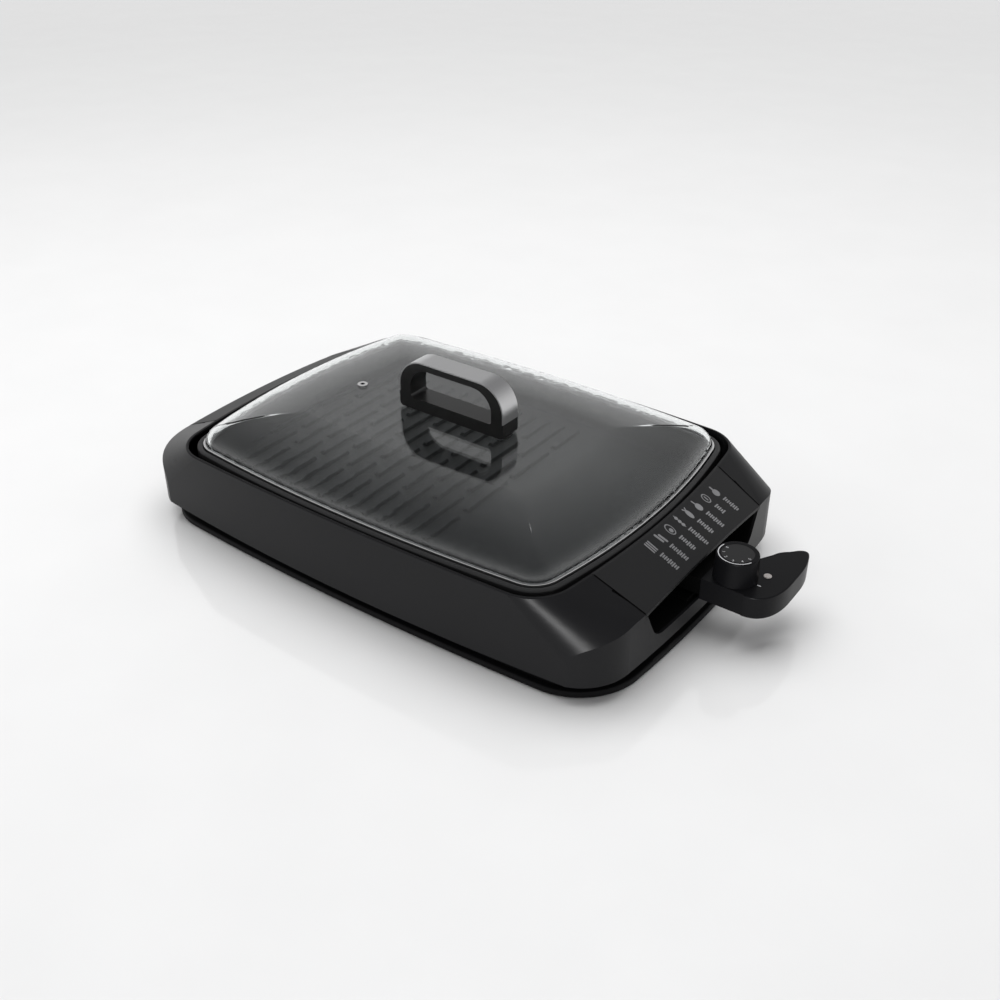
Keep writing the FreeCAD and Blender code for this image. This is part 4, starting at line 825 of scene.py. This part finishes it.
seam_shade_lines = bmesh.new()
for node, inner, outer in (("right_end_panel", "low", "high"), ("left_end_panel", "high", "low")):
    corners = dict(zip(("low", "high"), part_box(node)))
    outward = 1 if outer == "high" else -1
    top_x = corners[inner].x + outward * SEAM_TOP_IN
    foot_x = corners[outer].x - outward * SEAM_FOOT_IN
    for side in (-1, 1):
        seam = lay_seam(top_x, foot_x, side, corners["high"].y)
        rest_on(seam, (surface_of(node), casing_skin), BESIDE_SEAM)
        holder = bpy.data.meshes.new("seam")
        seam.to_mesh(holder)
        seam.free()
        seam_shade_lines.from_mesh(holder)
        bpy.data.meshes.remove(holder)
thicken(seam_shade_lines, SEAM_THICK)
# the black strip is painted shade, standing for the dark inside the gap beside each panel
keep_piece(seam_shade_lines, "panel_seam_shade", shadow_black, "base")

# %% [markdown]
# ## Dial on the knob
# The knob carries a printed arc along its heat range, with small numerals inside it. The arc is a
# thin strip of faces swung round the knob's axis with spin, and stays part of the knob's body so
# that it turns with it.

# %% Dial arc
ARC_INNER, ARC_OUTER = 15.3 * MM, 16.1 * MM
ARC_FROM, ARC_TO = 162, 338    # degrees round the knob
ARC_STEPS = 48
DIAL_LIFT = 0.01 * MM
DIAL_THICK = 0.05 * MM

knob_low, knob_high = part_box("probe_knob")
cap_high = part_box("knob_cap")[1]
knob_centre = (knob_low + knob_high) / 2


def swung_strip(inner, outer, first, last, z, steps):
    strip = bmesh.new()
    ends = [strip.verts.new((radius, 0, 0)) for radius in (inner, outer)]
    edge = strip.edges.new(ends)
    bmesh.ops.rotate(strip, verts=ends, matrix=Matrix.Rotation(math.radians(first), 3, "Z"))
    bmesh.ops.spin(strip, geom=[*ends, edge], cent=(0, 0, 0), axis=(0, 0, 1),
                   angle=math.radians(last - first), steps=steps, use_merge=False)
    bmesh.ops.translate(strip, verts=strip.verts[:], vec=(knob_centre.x, knob_centre.y, z))
    return strip


arc = swung_strip(ARC_INNER, ARC_OUTER, ARC_FROM, ARC_TO, knob_high.z + DIAL_LIFT, ARC_STEPS)
thicken(arc, DIAL_THICK)
keep_piece(arc, "dial_arc", white_ink, "knob")


# %% Dial numerals
NUMERAL_RADIUS = 11.5 * MM
NUMERAL_SIZE = 3.4 * MM
FIRST_NUMERAL, NUMERAL_STEP = 166, 37       # degrees round the knob


def lay_numeral(sheet, text, radius, degrees, size):
    letter = bpy.data.curves.new("numeral", "FONT")
    letter.body = text
    letter.size = size
    letter.align_x = "CENTER"
    letter.align_y = "CENTER"
    holder = bpy.data.objects.new("numeral", letter)
    flat = bpy.data.meshes.new_from_object(holder)
    turn = Matrix.Rotation(math.radians(degrees + 90), 4, "Z")
    spoke = Vector((math.cos(math.radians(degrees)), math.sin(math.radians(degrees)), 0)) * radius
    place = Matrix.Translation(Vector((knob_centre.x, knob_centre.y, cap_high.z)) + spoke)
    flat.transform(place @ turn)
    sheet.from_mesh(flat)
    bpy.data.objects.remove(holder)
    bpy.data.curves.remove(letter)
    bpy.data.meshes.remove(flat)


numerals = bmesh.new()
for number in range(6):
    degrees = FIRST_NUMERAL + number * NUMERAL_STEP
    lay_numeral(numerals, str(number), NUMERAL_RADIUS, degrees, NUMERAL_SIZE)
bmesh.ops.translate(numerals, verts=numerals.verts[:], vec=(0, 0, DIAL_LIFT))
thicken(numerals, DIAL_THICK)
keep_piece(numerals, "dial_numerals", white_ink, "knob")

# %% [markdown]
# ## Pointer on the probe
# A small mark on the housing beside the knob shows which number is set. It is a short bar, laid
# just proud of the top face.

# %% Pointer mark
POINTER_NEAR, POINTER_FAR = 1.0 * MM, 4.4 * MM          # from the knob's edge
POINTER_WIDTH = 1.1 * MM
POINTER_PROUD = 0.05 * MM

housing_skin = surface_of("probe_upper_housing")
pointer = bmesh.new()
ink_bar(pointer, knob_high.x + POINTER_NEAR, knob_high.x + POINTER_FAR, knob_centre.y,
        POINTER_WIDTH)
lay_on(pointer, housing_skin, POINTER_PROUD)
keep_piece(pointer, "pointer_mark", white_ink, "probe")

# %% [markdown]
# ## Ribs on the gland
# The rubber gland at the end of the grip is ringed with soft ribs so that it can flex. Each rib is
# a small circle swung once round the gland's axis.

# %% Gland ribs
RIB_BACKS = (1.9 * MM, 3.6 * MM)            # from the gland's free end
RIB_RADIUS = 0.45 * MM
RIB_SIDES, RIB_STEPS = 10, 36

gland_low, gland_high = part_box("cord_gland")
gland_centre = (gland_low + gland_high) / 2
gland_radius = (gland_high.x - gland_low.x) / 2
ribs = bmesh.new()
for back in RIB_BACKS:
    made = bmesh.ops.create_circle(ribs, cap_ends=False, segments=RIB_SIDES, radius=RIB_RADIUS)
    bmesh.ops.translate(ribs, verts=made["verts"], vec=(gland_radius, 0, 0))
    edges = list({edge for point in made["verts"] for edge in point.link_edges})
    bmesh.ops.spin(ribs, geom=[*made["verts"], *edges], cent=(0, 0, 0), axis=(0, 1, 0),
                   angle=2 * math.pi, steps=RIB_STEPS, use_merge=True)
    loose = [point for point in ribs.verts if not point.tag]
    place = (gland_centre.x, gland_high.y - back, gland_centre.z)
    bmesh.ops.translate(ribs, verts=loose, vec=place)
    for point in ribs.verts:
        point.tag = True
bmesh.ops.remove_doubles(ribs, verts=ribs.verts[:], dist=SAME_POINT)
bmesh.ops.recalc_face_normals(ribs, faces=ribs.faces[:])
keep_piece(ribs, "gland_ribs", gland_rubber, "probe")

# %% [markdown]
# ## Painted shade in the screw recesses
# Ten screws hold the base and one holds the probe together, with their heads seen from below. A
# cross of two black bars on each head is painted shade, standing for the dark of a recess a few
# millimetres wide. Each head's place is read from the screws' own mesh: points that lie close
# together belong to one screw.


# %% Painted recess shade on the screws
SCREW_REACH = 10 * MM          # points this near each other belong to one screw
CROSS_HALF = 2.0 * MM
CROSS_WIDTH = 0.9 * MM
CROSS_BELOW = 0.03 * MM
CROSS_THICK = 0.02 * MM


def islands(node, reach):
    """The middle of every separate solid in a node, seen from above."""
    groups = []
    for point in placed_points(node):
        flat = Vector((point.x, point.y, 0))
        near = [group for group in groups if (group[0] - flat).length < reach]
        if near:
            near[0].append(flat)
        else:
            groups.append([flat])
    return [sum(group, Vector()) / len(group) for group in groups]


def mark_heads(node, name, body):
    """A cross of two black bars just under every screw head in a node, painted as the shade of its
    recess.
    """
    recess_shade_bars = bmesh.new()
    heads = islands(node, SCREW_REACH)
    for middle in heads:
        for turn in (0.0, math.pi / 2):
            left, right = middle.x - CROSS_HALF, middle.x + CROSS_HALF
            ink_bar(recess_shade_bars, left, right, middle.y, CROSS_WIDTH, turn)
    head_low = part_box(node)[0].z
    bmesh.ops.translate(recess_shade_bars, verts=recess_shade_bars.verts[:], vec=(0, 0, head_low - CROSS_BELOW))
    thicken(recess_shade_bars, CROSS_THICK)
    # the black bars are painted shade for the cross recess in each head
    keep_piece(recess_shade_bars, name, shadow_black, body)
    print("screw heads", node, len(heads))


mark_heads("base_screws", "screw_recess_shade", "base")
mark_heads("probe_screw", "probe_screw_recess_shade", "probe")

# %% [markdown]
# ## The table
# A broad pale disc stands for the table. It has a clear coat, so the dark griddle leaves a soft
# reflection under itself.

# %% Table
TABLE_RADIUS = 40.0            # so wide that its edge is out of sight
TABLE_SIDES = 96

table_edit = bmesh.new()
bmesh.ops.create_circle(table_edit, cap_ends=True, segments=TABLE_SIDES, radius=TABLE_RADIUS)
table_mesh = bpy.data.meshes.new("table")
table_edit.to_mesh(table_mesh)
table_edit.free()
table = bpy.data.objects.new("table", table_mesh)
scene.collection.objects.link(table)
table_white = moulded("table_white", (0.82, 0.82, 0.82), rough=0.08, grain=60.0, drift=0.03,
                      bump=0.01, coat=1.0, specular=1.0)
table_mesh.materials.append(table_white)
